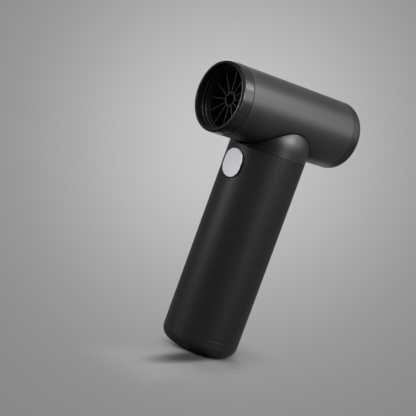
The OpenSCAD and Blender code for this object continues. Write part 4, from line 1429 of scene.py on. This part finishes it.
            turn = (0.0, 0.0, math.pi / 2 if across else 0.0)
            return tree.node("Transform", {"Geometry": swept, "Rotation": turn}).outputs[0]

        height = tree.math("MULTIPLY", wire, self.rim_share)
        rounding = tree.math("MULTIPLY", wire, self.rim_edge)
        hoop = tree.hoop(radius, rim, height, rounding, self.rim_sides)
        whole = tree.node("JoinGeometry", {"Geometry": [wires(False), wires(True), hoop]})
        middle = self.mesh.middle_y
        piece = tree.run("woven_filter", whole.outputs[0], Finish.STEEL.material(), middle)
        self.keep(piece, Finish.STEEL, "filter_mesh")


# ---- Neck ----

@dataclass
class Neck(Assembly):
    """The domed neck that cradles the barrel, and its screws."""

    dome: Extent = Extent.of("neck_dome")
    seam: float = Extent.of("handle_tube").high.z
    straight: float = 6.2 * MM
    wall: float = 2.2 * MM
    skirt: float = 25.85 * MM
    skirt_wall: float = 2 * MM
    cradle: float = Extent.of("outlet_collar").radius + 0.65 * MM
    cradle_floor: float = 2 * MM
    seam_edge: float = 0.22 * MM
    seam_gap: float = 0.2 * MM
    crest_edge: float = 0.3 * MM
    boss_hole: float = 3.3 * MM
    boss_pad: float = 5 * MM
    screw_boss: float = 3.2 * MM
    screw_pilot: float = 1.25 * MM
    lead_hole: float = 4 * MM
    lead_y: float = -1.4 * MM
    columns: int = 256
    seam_steps: int = 4
    wall_steps: int = 26
    crest_steps: int = 6
    cradle_steps: int = 12
    hollow_steps: int = 20
    hollow_sides: int = 96
    floor_sides: int = 128
    pad_gap: float = 0.2 * MM
    pilot_depth: float = 7 * MM
    notch: float = 12.2 * MM
    notch_gap: float = 0.4 * MM

    @property
    def dome_z(self) -> float:
        """Height of the dome's centre."""
        return self.seam + self.straight

    def build(self) -> None:
        """Builds and dresses the neck's pieces."""
        neck = self.solid()
        combined(neck, [self.hollow()])
        combined(neck, self.openings())
        self.keep(smoothed(neck), Finish.NECK_SATIN, "neck_dome")
        self.dress(Finish.STEEL, "barrel_screws", "neck_screws")

    def crest_ball(self, angle: float) -> tuple[Vector, Vector, Vector]:
        """Finds where a ball rolls along inside the crest, at one angle round the neck.

        Args:
            angle: turn about the handle's axis, in radians.

        Returns:
            The ball's centre, and the directions to the points where it touches the dome and
            the cradle.
        """
        outer, inner = self.dome.radius - self.crest_edge, self.cradle + self.crest_edge
        drop, c = BARREL_HEIGHT - self.dome_z, math.cos(angle)
        across = outer * c
        on_wall = BARREL_HEIGHT - math.sqrt(max(inner * inner - across * across, 0.0))
        if inner > abs(across) and on_wall <= self.dome_z:
            centre = Vector((across, outer * math.sin(angle), on_wall))
            out = Vector((c, math.sin(angle), 0.0))
        else:
            a = outer * outer * (1 - c * c)
            b = 2 * drop * outer
            k = outer * outer * c * c + drop * drop - inner * inner
            rise = 2 * k / (b + math.sqrt(max(b * b - 4 * a * k, 0.0)))
            reach = outer * math.sqrt(1 - rise * rise)
            centre = Vector((reach * c, reach * math.sin(angle), self.dome_z + outer * rise))
            out = (centre - Vector((0, 0, self.dome_z))).normalized()
        into = Vector((-centre.x, 0.0, BARREL_HEIGHT - centre.z)).normalized()
        return centre, out, into

    def column(self, angle: float) -> list[Vector]:
        """Lists the points of the neck's surface in one upright strip, from the foot up.

        Args:
            angle: turn about the handle's axis, in radians.

        Returns:
            Points up the skirt, over the seam's edge, the wall, the dome and the crest, and
            down the cradle to the middle.
        """
        radius, edge = self.dome.radius, self.seam_edge
        foot = self.seam + self.seam_gap
        found = [Axis.HANDLE.point(r, angle, z) for r, z in (
            (self.skirt - edge, self.dome.low.z), (self.skirt, self.dome.low.z + edge),
            (self.skirt, foot))]
        for turn in quarter_turn(self.seam_steps):
            found.append(Axis.HANDLE.point(
                radius - edge + edge * math.sin(turn), angle, foot + edge - edge * math.cos(turn)))
        centre, out, into = self.crest_ball(angle)
        top = centre + out * self.crest_edge
        start, end = foot + edge, self.dome_z
        lift = math.asin(max(-1.0, min(1.0, (top.z - end) / radius)))
        length = top.z - start if top.z <= end else end - start + radius * lift
        for k in range(1, self.wall_steps):
            along = length * k / self.wall_steps
            if start + along <= end:
                found.append(Axis.HANDLE.point(radius, angle, start + along))
            else:
                bow = (along - (end - start)) / radius
                found.append(Axis.HANDLE.point(
                    radius * math.cos(bow), angle, end + radius * math.sin(bow)))
        for k in range(self.crest_steps + 1):
            found.append(centre + out.slerp(into, k / self.crest_steps) * self.crest_edge)
        rim = found[-1]
        for k in range(1, self.cradle_steps):
            left = 1 - k / self.cradle_steps
            x, y = rim.x * left, rim.y * left
            found.append(Vector((x, y, BARREL_HEIGHT - math.sqrt(self.cradle ** 2 - x * x))))
        return found

    def solid(self) -> Piece:
        """Builds the neck's outer form as one closed solid.

        Returns:
            The solid.
        """
        shell = Shell()
        columns = [self.column(angle) for angle in full_turn(self.columns)]
        rows = [shell.row([Vector((0, 0, self.dome.low.z))])]
        rows += [shell.row(points) for points in zip(*columns)]
        rows.append(shell.row([Vector((0, 0, BARREL_HEIGHT - self.cradle))]))
        shell.skin(rows)
        return shell.piece("neck_saddle")

    def hollow(self) -> Piece:
        """Builds the hollow below the cradle's floor, with the bosses left out of it.

        Returns:
            The hollow as a solid.
        """
        inner, low = self.skirt - self.skirt_wall, self.dome.low.z
        bow = self.dome.radius - self.wall
        start = math.acos(inner / bow)
        outline = Outline(0)
        outline.to(0, low - MM).to(inner, low - MM).to(inner, self.dome_z - bow * math.sin(start))
        for k in range(1, self.hollow_steps):
            turn = -start + (math.pi / 2 + start) * k / self.hollow_steps
            outline.to(bow * math.cos(turn), self.dome_z + bow * math.sin(turn))
        outline.to(0, self.dome_z + bow)
        room = turned("hollow", outline, Axis.HANDLE, self.hollow_sides)
        floor, reach = self.cradle + self.cradle_floor, 2 * self.dome.radius
        kept = [rod(Axis.BARREL, (0, 0), floor, -reach, reach, self.floor_sides)]
        kept += pair((self.screw_x, 0), self.screw_boss, low, self.dome_z)
        kept += pair((0, BOSS_Y), self.boss_pad, self.pad_z, self.seam)
        return combined(room, kept)

    @property
    def screw_x(self) -> float:
        """Distance of the neck's screws beside the handle's axis."""
        screws = Extent.of("neck_screws")
        return screws.high.x - (screws.high.y - screws.low.y) / 2

    @property
    def pad_z(self) -> float:
        """Height of the pads that the barrel's screws bear on."""
        return Extent.of("barrel_shell").low.z - self.pad_gap

    def openings(self) -> list[Piece]:
        """Builds what is cut through the neck.

        Returns:
            The boss holes, the screws' pilots, the way for the leads and the guide's notch.
        """
        low, deep = self.dome.low.z - MM, self.seam + self.straight
        guide = Extent.of("button_guide")
        pilot_end = self.dome.low.z + self.pilot_depth
        cuts = pair((0, BOSS_Y), self.boss_hole, low, deep)
        cuts += pair((self.screw_x, 0), self.screw_pilot, low, pilot_end)
        cuts.append(rod(Axis.HANDLE, (0, self.lead_y), self.lead_hole, low, deep))
        far = Vector((self.notch, guide.high.y + self.notch_gap, guide.high.z + self.notch_gap))
        cuts.append(block(Vector((-self.notch, -self.skirt - MM, low)), far))
        return cuts


# ---- Handle ----

@dataclass
class Handle(Assembly):
    """The round handle tube with the opening for its button."""

    tube: Extent = Extent.of("handle_tube")
    cap: Extent = Extent.of("button_cap")
    wall: float = 2 * MM
    edge: float = 0.25 * MM
    button: Stadium = BUTTON_OUTLINE
    gap: float = 0.4 * MM
    columns: int = 256
    lower_rows: int = 16
    edge_steps: int = 4
    window_columns: int = 40
    window_rows: int = 20
    window_reach: float = 13.4 * MM
    outer_shares: tuple[float, ...] = (0.75, 0.5, 0.25, 0.0)
    inner_shares: tuple[float, ...] = (0.0, 0.33, 0.66)

    @property
    def turns(self) -> list[float]:
        """Angle of each column of the walls; the first is at the middle of the back."""
        return full_turn(self.columns, math.pi / 2)

    def build(self) -> None:
        """Builds and dresses the handle's pieces."""
        self.build_tube()
        self.dress(Finish.FRAME_GREY, "handle_frame")

    def heights(self) -> list[float]:
        """Works out the heights of the tube's rows, with even ones across the window.

        Returns:
            The heights, from the bottom up.
        """
        low, high = self.cap.middle_z - self.window_reach, self.cap.middle_z + self.window_reach
        start, end = self.tube.low.z + self.edge, self.tube.high.z - self.edge
        below = [start + (low - start) * k / self.lower_rows for k in range(self.lower_rows)]
        inside = [low + (high - low) * k / self.window_rows for k in range(self.window_rows + 1)]
        return below + inside + [end]

    def surface(self, shell: Shell, radius: float) -> list[list[int]]:
        """Adds one wall of the tube, open at the window.

        Args:
            shell: the mesh that the wall is added to.
            radius: the wall's radius.

        Returns:
            The wall's rows from the bottom up, each starting at the middle of the back.
        """
        heights = self.heights()
        rows = [shell.row([Axis.HANDLE.point(radius, a, z) for a in self.turns]) for z in heights]
        first_column = self.columns // 2 - self.window_columns // 2
        first_row = len(heights) - 2 - self.window_rows
        for j, (a, b) in enumerate(zip(rows, rows[1:])):
            for i in range(self.columns):
                in_columns = first_column <= i < first_column + self.window_columns
                if not (in_columns and first_row <= j < first_row + self.window_rows):
                    n = (i + 1) % self.columns
                    shell.faces.append([a[i], a[n], b[n], b[i]])
        return rows

    def window(self, rows: list[list[int]]) -> list[int]:
        """Lists the corners round the window in one wall, in order.

        Args:
            rows: the wall's rows.

        Returns:
            Numbers of the corners.
        """
        left = self.columns // 2 - self.window_columns // 2
        right = left + self.window_columns
        low = len(rows) - 2 - self.window_rows
        high = low + self.window_rows
        ring = [rows[low][i] for i in range(left, right)]
        ring += [rows[j][right] for j in range(low, high)]
        ring += [rows[high][i] for i in range(right, left, -1)]
        return ring + [rows[j][left] for j in range(high, low, -1)]

    def build_tube(self) -> None:
        """Builds the tube: two walls joined at both ends and round the button's opening."""
        shell = Shell()
        outer_r, inner_r = self.tube.radius, self.tube.radius - self.wall
        outer, inner = self.surface(shell, outer_r), self.surface(shell, inner_r)
        for end, rows_at in ((self.tube.low.z, 0), (self.tube.high.z, -1)):
            self.close_end(shell, outer[rows_at], inner[rows_at], end, 1 if rows_at == 0 else -1)
        self.close_window(shell, self.window(outer), self.window(inner), outer_r, inner_r)
        self.keep(smoothed(shell.piece("grip_tube")), Finish.HANDLE_MATTE, "handle_tube")

    def close_end(self, shell: Shell, outer: list[int], inner: list[int], end: float,
                  way: int) -> None:
        """Closes one end of the tube with rounded edges.

        Args:
            shell: the mesh of the tube.
            outer: the outer wall's last row.
            inner: the inner wall's last row.
            end: height of the end.
            way: 1 at the bottom end and -1 at the top end.
        """
        edge, wall_end = self.edge, self.tube.radius - self.wall
        arcs = [(self.tube.radius - edge + edge * math.cos(t), edge - edge * math.sin(t))
                for t in quarter_turn(self.edge_steps)[1:]]
        arcs += [(wall_end + edge - edge * math.sin(t), edge - edge * math.cos(t))
                 for t in quarter_turn(self.edge_steps)[:-1]]
        rows = [shell.row([Axis.HANDLE.point(radius, a, end + way * inset) for a in self.turns])
                for radius, inset in arcs]
        shell.skin([outer, *rows, inner])

    def close_window(self, shell: Shell, outer: list[int], inner: list[int],
                     outer_r: float, inner_r: float) -> None:
        """Fills the window down to the button's opening, through the wall.

        Args:
            shell: the mesh of the tube.
            outer: corners round the window in the outer wall.
            inner: the same in the inner wall.
            outer_r: radius of the outer wall.
            inner_r: radius of the inner wall.
        """
        hole = Stadium(self.button.width + 2 * self.gap, self.button.height + 2 * self.gap,
                       self.button.fullness)
        spots = [shell.points[i] for i in outer]
        flat = [(p.x, p.z - self.cap.middle_z) for p in spots]
        headings = [math.atan2(up, across) for across, up in flat]

        def loop(radius: float, grown: float, sunk: float, share: float = 0.0) -> list[int]:
            """Adds one loop between the opening and the window.

            Args:
                radius: radius of the wall it lies on.
                grown: how far it is widened round the opening.
                sunk: how far it lies below that wall.
                share: 0 at the opening, 1 at the window itself.

            Returns:
                Numbers of the loop's points.
            """
            row = []
            for heading, (wide, high) in zip(headings, flat):
                across, up = hole.reach(heading, grown)
                wide = wide * radius / outer_r
                across, up = across + (wide - across) * share, up + (high - up) * share
                row.append(Vector((across, sunk - math.sqrt(radius * radius - across * across),
                                   self.cap.middle_z + up)))
            return shell.row(row)

        edge = self.edge
        loops = [loop(outer_r, edge, 0.0, share) for share in self.outer_shares]
        loops += [loop(outer_r, edge * (1 - math.sin(t)), edge * (1 - math.cos(t)))
                  for t in quarter_turn(self.edge_steps)[1:]]
        loops += [loop(inner_r, 0.0, 0.0, share) for share in self.inner_shares]
        shell.skin([outer, *loops, inner])


# ---- Button ----

@dataclass
class Button(Assembly):
    """The pressed button with its guide, switch and plunger."""

    cap: Extent = Extent.of("button_cap")
    outline: Stadium = BUTTON_OUTLINE
    face_outline: Stadium = Stadium(18 * MM, 20.6 * MM, 0.3 * MM)
    face_lift: float = 0.15 * MM
    plate: float = 0.5 * MM
    plate_edge: float = 0.3 * MM
    crown: float = 0.1 * MM
    body_inset: float = 0.05 * MM
    body_edge: float = 0.15 * MM
    wall: float = 1.4 * MM
    face: float = 1.8 * MM
    flange: float = 0.6 * MM
    flange_thickness: float = 1 * MM
    boss: float = 2.4 * MM
    boss_end: float = Extent.of("button_cap").high.y - 0.8 * MM
    points: int = 144
    edge_steps: int = 6
    face_steps: int = 12

    def build(self) -> None:
        """Builds and dresses the button's pieces."""
        self.build_body()
        self.build_face()
        self.dress(Finish.FRAME_GREY, "button_guide")
        self.dress(Finish.CHIP_BLACK, "tactile_switch")
        self.dress(Finish.BUTTON_GREY, "switch_plunger")
        self.dress(Finish.STEEL, "guide_screws")
        self.dress(Finish.BOARD_GREEN, "switch_board")

    def loop(self, shell: Shell, outline: Stadium, grown: float, y: float) -> list[int]:
        """Adds one loop of an outline at one depth.

        Args:
            shell: the mesh that the loop is added to.
            outline: the outline.
            grown: how far it is widened all round.
            y: the depth.

        Returns:
            Numbers of the loop's points.
        """
        spots = [outline.reach(angle, grown) for angle in full_turn(self.points)]
        middle = self.cap.middle_z + (self.face_lift if outline is self.face_outline else 0.0)
        return shell.row([Vector((across, y, middle + up)) for across, up in spots])

    def pole(self, shell: Shell, y: float) -> list[int]:
        """Adds the middle point at one depth."""
        return shell.row([Vector((0, y, self.cap.middle_z))])

    def rounded(self, shell: Shell, outline: Stadium, grown: float, y: float,
                edge: float) -> list[list[int]]:
        """Adds the loops of a rounded front edge that ends at a side wall.

        Args:
            shell: the mesh that the loops are added to.
            outline: outline of the side wall.
            grown: how far the side wall stands outside the outline.
            y: depth of the face that the edge starts from.
            edge: radius of the edge.

        Returns:
            The loops, from the face to the wall.
        """
        spots = [(grown + edge * (math.sin(t) - 1), y + edge * (1 - math.cos(t)))
                 for t in quarter_turn(self.edge_steps)]
        return [self.loop(shell, outline, *spot) for spot in spots]

    def build_body(self) -> None:
        """Builds the dark body: a step that carries the face, a flange and a hollow back."""
        shell, outline = Shell(), self.outline
        front, back = self.cap.low.y, self.cap.high.y
        seat, lip, inset = front + self.plate, back - self.flange_thickness, -self.body_inset

        def ring(radius: float, y: float) -> list[int]:
            """Adds one round loop about the button's middle."""
            spots = [(radius * math.cos(a), radius * math.sin(a)) for a in full_turn(self.points)]
            return shell.row([Vector((across, y, self.cap.middle_z + up)) for across, up in spots])

        rows = [self.pole(shell, seat), *self.rounded(shell, outline, inset, seat, self.body_edge)]
        rows += [self.loop(shell, outline, *spot) for spot in (
            (inset, lip), (self.flange, lip), (self.flange, back), (-self.wall, back),
            (-self.wall, front + self.face))]
        rows += [ring(self.boss, front + self.face), ring(self.boss, self.boss_end)]
        rows.append(self.pole(shell, self.boss_end))
        shell.skin(rows)
        self.keep(smoothed(shell.piece("press_body")), Finish.INNER_BLACK, "button_cap")

    def build_face(self) -> None:
        """Builds the pale face plate, barely crowned, with a rounded edge."""
        shell, outline = Shell(), self.face_outline
        front, half = self.cap.low.y, outline.width / 2
        rows = [self.pole(shell, front)]
        for k in range(1, self.face_steps + 1):
            share = k / self.face_steps
            inset = self.plate_edge + (half - self.plate_edge) * (1 - share)
            rows.append(self.loop(shell, outline, -inset, front + self.crown * share ** 2))
        rows += self.rounded(shell, outline, 0.0, front + self.crown, self.plate_edge)[1:]
        seat = front + self.plate
        rows += [self.loop(shell, outline, 0.0, seat), self.pole(shell, seat)]
        shell.skin(rows)
        self.keep(smoothed(shell.piece("press_face")), Finish.BUTTON_GREY, "button_cap")


# ---- Base ----

@dataclass
class Base(Assembly):
    """The rounded base cap, its foot pad and the charging port."""

    cap: Extent = Extent.of("base_cap")
    pad: Extent = Extent.of("foot_pad")
    seam: float = Extent.of("handle_tube").low.z
    edge: float = 8.4 * MM
    seam_edge: float = 0.25 * MM
    wall: float = 2.4 * MM
    spigot_wall: float = 2 * MM
    spigot: float = 25.85 * MM
    spigot_end: float = 4 * MM
    pad_gap: float = 0.15 * MM
    screw_count: int = 3
    screw_circle: float = 13.6 * MM
    boss: float = 3.4 * MM
    screw_hole: float = 1.5 * MM
    head_hole: float = 2.9 * MM
    head_seat: float = 3.3 * MM
    boss_top: float = 14 * MM
    post_radius: float = 1.8 * MM
    post_pilot: float = 0.85 * MM
    post_x: float = 6 * MM
    post_y: float = -8 * MM
    port: Stadium = Stadium(3.56 * MM, 9.24 * MM)
    plug: Stadium = Stadium(6.8 * MM, 12.6 * MM)
    light_hole: float = 1.25 * MM
    light_clearance: float = 1.6 * MM
    small_edge: float = 0.2 * MM
    recess_edge: float = 0.25 * MM
    edge_steps: int = 14
    port_rim: float = 3.7 * MM
    port_rim_height: float = 0.8 * MM
    port_reach: float = 2 * MM
    pilot_depth: float = 4 * MM
    port_points: int = 64
    pad_sides: int = 160
    pad_edge: float = 0.4 * MM
    pad_top_edge: float = 0.15 * MM
    plug_margin: float = 1.5 * MM
    grooves: int = 7
    groove_margin: float = 1.2 * MM
    # Each corner of a groove: how far in from its outer edge, how high, and its rounding.
    groove: tuple[Point3, ...] = (
        (0.0, 0.0, 0.08 * MM), (0.12 * MM, 0.3 * MM, 0.05 * MM),
        (0.5 * MM, 0.3 * MM, 0.05 * MM), (0.62 * MM, 0.0, 0.08 * MM))

    def build(self) -> None:
        """Builds and dresses the base's pieces."""
        self.build_cap()
        self.build_pad()
        self.dress(Finish.STEEL, "base_screws", "charge_board_screws")
        self.dress(Finish.NICKEL, "usb_socket")
        self.dress(Finish.CHIP_BLACK, "usb_tongue")
        self.dress(Finish.CLEAR, "charge_light_pipe")
        self.dress(Finish.BOARD_GREEN, "charge_board")

    @property
    def light_y(self) -> float:
        """Distance of the charge light behind the handle's axis."""
        return Extent.of("charge_light_pipe").middle_y

    def opening(self, outline: Stadium, low: float, high: float) -> Piece:
        """Builds a stadium-shaped block whose long way is X, for cuts and bosses.

        Args:
            outline: its outline.
            low: height of its lower end.
            high: height of its upper end.

        Returns:
            The block.
        """
        spots = [outline.reach(angle) for angle in full_turn(self.port_points)]
        return prism("opening", [[Vector((up, across, z)) for across, up in spots]
                                 for z in (low, high)])

    def build_cap(self) -> None:
        """Turns the cap, adds its bosses and cuts its holes."""
        radius, low, floor = self.cap.radius, self.cap.low.z, self.cap.low.z + self.wall
        recess, recess_top = self.pad.radius + self.pad_gap, self.pad.high.z
        top, inner = self.seam + self.spigot_end, self.spigot - self.spigot_wall
        outline = Outline(self.small_edge, self.edge_steps)
        outline.to(0, recess_top, 0).to(recess, recess_top, 0).to(recess, low, self.recess_edge)
        outline.to(radius, low, self.edge).to(radius, self.seam, self.seam_edge)
        outline.to(self.spigot, self.seam, 0).to(self.spigot, top).to(inner, top)
        outline.to(inner, floor, self.edge - self.wall).to(0, floor, 0)
        cap = turned("foot_shell", outline, Axis.HANDLE)
        screws = [(self.screw_circle * math.cos(a), self.screw_circle * math.sin(a))
                  for a in full_turn(self.screw_count, math.pi / 2)]
        posts = [(s * self.post_x, self.post_y) for s in (-1, 1)]
        board = Extent.of("charge_board").low.z

        def rods(spots: Sequence[Point2], size: float, start: float, end: float) -> list[Piece]:
            """Makes one upright rod of a radius at each spot."""
            return [rod(Axis.HANDLE, spot, size, start, end) for spot in spots]

        rim = Stadium(self.port.width + self.port_rim, self.port.height + self.port_rim)
        added = rods(screws, self.boss, floor - MM, self.boss_top)
        added += rods(posts, self.post_radius, floor - MM, board)
        added.append(self.opening(rim, floor - MM, floor + self.port_rim_height))
        combined(cap, added, Combine.JOIN)
        cuts = rods(screws, self.screw_hole, -MM, self.boss_top + MM)
        cuts += rods(screws, self.head_hole, -MM, self.head_seat)
        cuts += rods(posts, self.post_pilot, board - self.pilot_depth, board + MM)
        cuts.append(self.opening(self.port, -MM, floor + self.port_reach))
        cuts += rods([(0, self.light_y)], self.light_hole, -MM, self.seam)
        combined(cap, cuts)
        self.keep(smoothed(cap), Finish.HANDLE_MATTE, "base_cap")

    def build_pad(self) -> None:
        """Turns the foot pad, with fine rings below for grip, and cuts its two openings."""
        radius, top = self.pad.radius, self.pad.high.z
        outline = Outline(self.pad_top_edge, steps=3)
        outline.to(0, top, 0).to(radius, top).to(radius, 0, self.pad_edge)
        inner = self.plug.height / 2 + self.plug_margin
        pitch = (radius - self.groove_margin - inner) / self.grooves
        for k in range(self.grooves):
            at = radius - self.groove_margin - k * pitch
            for inset, rise, rounding in self.groove:
                outline.to(at - inset, rise, rounding)
        outline.to(0, 0, 0)
        pad = turned("grip_pad", outline, Axis.HANDLE, self.pad_sides)
        light = rod(Axis.HANDLE, (0, self.light_y), self.light_clearance, -MM, top + MM)
        combined(pad, [self.opening(self.plug, -MM, top + MM), light])
        self.keep(smoothed(pad), Finish.FOOT_RUBBER, "foot_pad")


# ---- Inside ----

@dataclass
class Fan(Assembly):
    """Motor, bearings and impeller."""

    def build(self) -> None:
        """Dresses the motor's and the fan's pieces."""
        self.dress(Finish.ALLOY, "motor_end_bell", "impeller")
        self.dress(Finish.LAMINATION, "stator_core")
        self.dress(Finish.COPPER, "motor_windings")
        self.dress(Finish.BOARD_GREEN, "motor_terminal_board")
        self.dress(Finish.STEEL, "bearing_outer_rings", "bearing_balls", "bearing_inner_rings")
        self.dress(Finish.STEEL, "motor_shaft", "impeller_nut")
        self.dress(Finish.MAGNET, "rotor_magnet")
        self.dress(Finish.LEAD_RED, "motor_leads")


@dataclass
class PowerPack(Assembly):
    """Cells, trays, boards and leads in the handle."""

    def build(self) -> None:
        """Dresses the battery and the electronics."""
        self.dress(Finish.CELL_WRAP, "battery_cells")
        self.dress(Finish.NICKEL, "nickel_strips")
        self.dress(Finish.TRAY_CREAM, "battery_tray_lower", "battery_tray_upper")
        self.dress(Finish.BOARD_GREEN, "control_board")
        self.dress(Finish.CHIP_BLACK, "power_transistors", "controller_chip", "charge_leads")
        self.dress(Finish.CAN_BLUE, "smoothing_capacitor")
        self.dress(Finish.LEAD_RED, "battery_leads")


# ---- Studio ----

@dataclass(frozen=True)
class Softbox:
    """A large soft lamp, aimed at the middle of the blower."""

    name: str
    azimuth: float
    elevation: float
    width: float
    height: float
    watts: float
    distance: float = 0.9

    def build(self, target: Vector) -> None:
        """Adds the lamp; its azimuth is from +X towards +Y, in degrees.

        Args:
            target: the point it is aimed at.
        """
        data = bpy.data.lights.new(self.name, "AREA")
        data.shape, data.size, data.size_y = "RECTANGLE", self.width, self.height
        data.energy = self.watts
        lamp = bpy.data.objects.new(self.name, data)
        az, el = math.radians(self.azimuth), math.radians(self.elevation)
        away = Vector((math.cos(az) * math.cos(el), math.sin(az) * math.cos(el), math.sin(el)))
        lamp.location = target + away * self.distance
        lamp.rotation_mode = "QUATERNION"
        lamp.rotation_quaternion = away.to_track_quat("Z", "Y")
        lamp.visible_camera = False
        bpy.context.scene.collection.objects.link(lamp)
        LOG.info("%s lamp", self.name)


@dataclass
class Studio:
    """Camera, lamps, pale floor and backdrop."""

    camera_place: Point3 = (0.57678, -0.52607, 0.18802)
    azimuth: float = 49.55
    elevation: float = 6.62
    roll: float = 19.83
    lens: float = 95.43
    sensor: float = 36.0
    clip: Point2 = (0.01, 50.0)
    target: Point3 = (0.0, 0.0, 120 * MM)
    floor_reach: float = 0.5
    floor_colour: Colour = (0.147, 0.147, 0.147)
    floor_roughness: float = 0.9
    floor_gloss: float = 0.1
    # A painted shadow on the floor beside the foot: its centre, its long and wide axes, its soft core
    # and its depth.
    shade_centre: Point2 = (23.5 * MM, -20.8 * MM)
    shade_long: Point2 = (23.5 * MM, -71 * MM)
    shade_wide: Point2 = (17 * MM, -13 * MM)
    shade_core: float = 0.25
    shade_depth: float = 0.8
    floor_fade: Point2 = (1.2, 3.2)
    floor_rim: Point2 = (0.06, 0.12)
    back_dark: float = 0.244
    back_bright: float = 0.57
    glow_power: float = 73.7
    glow_centre: Point2 = (232.1, 143.1)
    picture: float = 416.0
    fill: float = 0.25
    lamps: tuple[Softbox, ...] = (
        Softbox("key", 46.0, 24.0, 0.45, 0.35, 1.1),
        Softbox("top", 36.0, 50.0, 0.45, 0.3, 3.5),
        Softbox("side", 8.0, 28.0, 0.55, 0.25, 7.0),
        Softbox("low_side", 4.0, 0.0, 0.2, 0.45, 0.8),
        Softbox("front", -114.0, 8.0, 0.2, 0.35, 4.2),
        Softbox("front_side", -55.0, 42.0, 0.3, 0.3, 1.2),
        Softbox("front_top", -78.0, 50.0, 0.35, 0.35, 2.4),
        Softbox("back", 165.0, 35.0, 0.5, 0.4, 6.6),
        Softbox("overhead", 0.0, 85.0, 0.6, 0.6, 4.9),
        Softbox("bounce", 130.0, -30.0, 0.4, 0.3, 0.3),
    )

    def build(self) -> None:
        """Builds the whole studio."""
        self.build_camera()
        for lamp in self.lamps:
            lamp.build(Vector(self.target))
        self.build_floor()
        self.build_world()
        bpy.context.scene.view_settings.view_transform = "Standard"

    def camera_axes(self) -> tuple[Vector, Vector, Vector]:
        """Works out the camera's own directions, with its roll.

        Returns:
            Its right, up and backward directions.
        """
        az, el, roll = (math.radians(a) for a in (self.azimuth, self.elevation, self.roll))
        back = Vector((math.sin(az) * math.cos(el), -math.cos(az) * math.cos(el), math.sin(el)))
        right = Vector((math.cos(az), math.sin(az), 0.0))
        up = back.cross(right)
        turned_right = math.cos(roll) * right + math.sin(roll) * up
        return turned_right, math.cos(roll) * up - math.sin(roll) * right, back

    def build_camera(self) -> None:
        """Places the camera, rolled so that the blower leans in the view."""
        right, up, back = self.camera_axes()
        data = bpy.data.cameras.new("camera")
        data.lens, data.sensor_width, data.sensor_fit = self.lens, self.sensor, "HORIZONTAL"
        data.clip_start, data.clip_end = self.clip
        camera = bpy.data.objects.new("camera", data)
        axes = Matrix((right, up, back)).transposed().to_4x4()
        camera.matrix_world = Matrix.Translation(self.camera_place) @ axes
        bpy.context.scene.collection.objects.link(camera)
        bpy.context.scene.camera = camera

    def build_floor(self) -> None:
        """Builds a pale floor that fades into the backdrop, as one face without inner edges."""
        corners = [Axis.HANDLE.point(self.floor_reach, angle, 0.0) for angle in full_turn(3)]
        mesh = bpy.data.meshes.new("floor")
        mesh.from_pydata(corners, [], [(0, 1, 2)])
        floor = place("floor", mesh)
        mesh.materials.append(self.floor_material())

    def floor_material(self) -> bpy.types.Material:
        """Builds the floor's material: matte near the blower, with a painted shadow beside the foot,
        and clear far away.

        Returns:
            The new material.
        """
        made = Dressing("floor")
        spot, centre = made.node("TexCoord").outputs["Object"], (*self.shade_centre, 0.0)
        offset = made.node("VectorMath", {0: spot, 1: centre}, operation="SUBTRACT").outputs[0]
        (ax, ay), (bx, by) = self.shade_long, self.shade_wide
        area = ax * by - bx * ay
        axes = ((by / area, -bx / area, 0.0), (-ay / area, ax / area, 0.0))
        squares = [made.math("POWER", made.measure("DOT_PRODUCT", offset, axis), 2.0)
                   for axis in axes]
        away = made.math("SQRT", made.math("ADD", *squares))
        # Painted shadow: a soft dark ellipse on the floor beside the foot, on top of the lamps' own
        # shadows.
        shade = made.ramp(away, (self.shade_core, 1.0), (self.shade_depth, 0.0))
        dark = made.mix(shade, self.floor_colour, (0.0, 0.0, 0.0))
        reach = made.measure("LENGTH", offset)
        fade = made.math("MAXIMUM", made.ramp(away, self.floor_fade), made.ramp(reach, self.floor_rim))
        made.set(Base_Color=dark, Roughness=self.floor_roughness, Specular_IOR_Level=self.floor_gloss)
        clear = made.node("BsdfTransparent")
        both = made.node("MixShader", {0: fade, 1: made.shader.outputs[0], 2: clear.outputs[0]})
        made.feed(made.tree.nodes["Material Output"], {"Surface": both.outputs[0]})
        return made.material

    def build_world(self) -> None:
        """Builds the backdrop that the camera and mirrors see, and the room's even fill."""
        world = bpy.data.worlds.new("studio")
        world.use_nodes = True
        bpy.context.scene.world = world
        made = Nodes(world.node_tree)
        ray = made.node("LightPath").outputs
        right, up, back = self.camera_axes()
        away = self.lens / self.sensor * self.picture
        across, down = (c - self.picture / 2 for c in self.glow_centre)
        view = (across * right - down * up - away * back).normalized()
        along = made.measure("DOT_PRODUCT", made.node("TexCoord").outputs["Generated"], view)
        glow = made.math("POWER", made.math("MAXIMUM", along, 0.0), self.glow_power)
        glow = made.math("MULTIPLY", glow, ray["Is Camera Ray"])
        shown = made.math("MULTIPLY_ADD", glow, self.back_bright - self.back_dark, self.back_dark)
        mirrored = made.math("MAXIMUM", ray["Is Glossy Ray"], ray["Is Transmission Ray"])
        seen = made.math("MAXIMUM", ray["Is Camera Ray"], mirrored)
        unseen = made.math("SUBTRACT", 1.0, seen)
        level = made.math("ADD", made.math("MULTIPLY", seen, shown),
                          made.math("MULTIPLY", unseen, self.fill))
        made.feed(made.tree.nodes["Background"], {"Color": (1.0, 1.0, 1.0, 1.0), "Strength": level})


def main() -> None:
    """Builds the studio and every sub-assembly."""
    logging.basicConfig(level=logging.INFO, format="%(name)s: %(message)s")
    Studio().build()
    for assembly in (Barrel(), RearCap(), Neck(), Handle(), Button(), Base(), Fan(), PowerPack()):
        LOG.info("building %s", type(assembly).__name__)
        assembly.build()


if __name__ == "__main__":
    main()
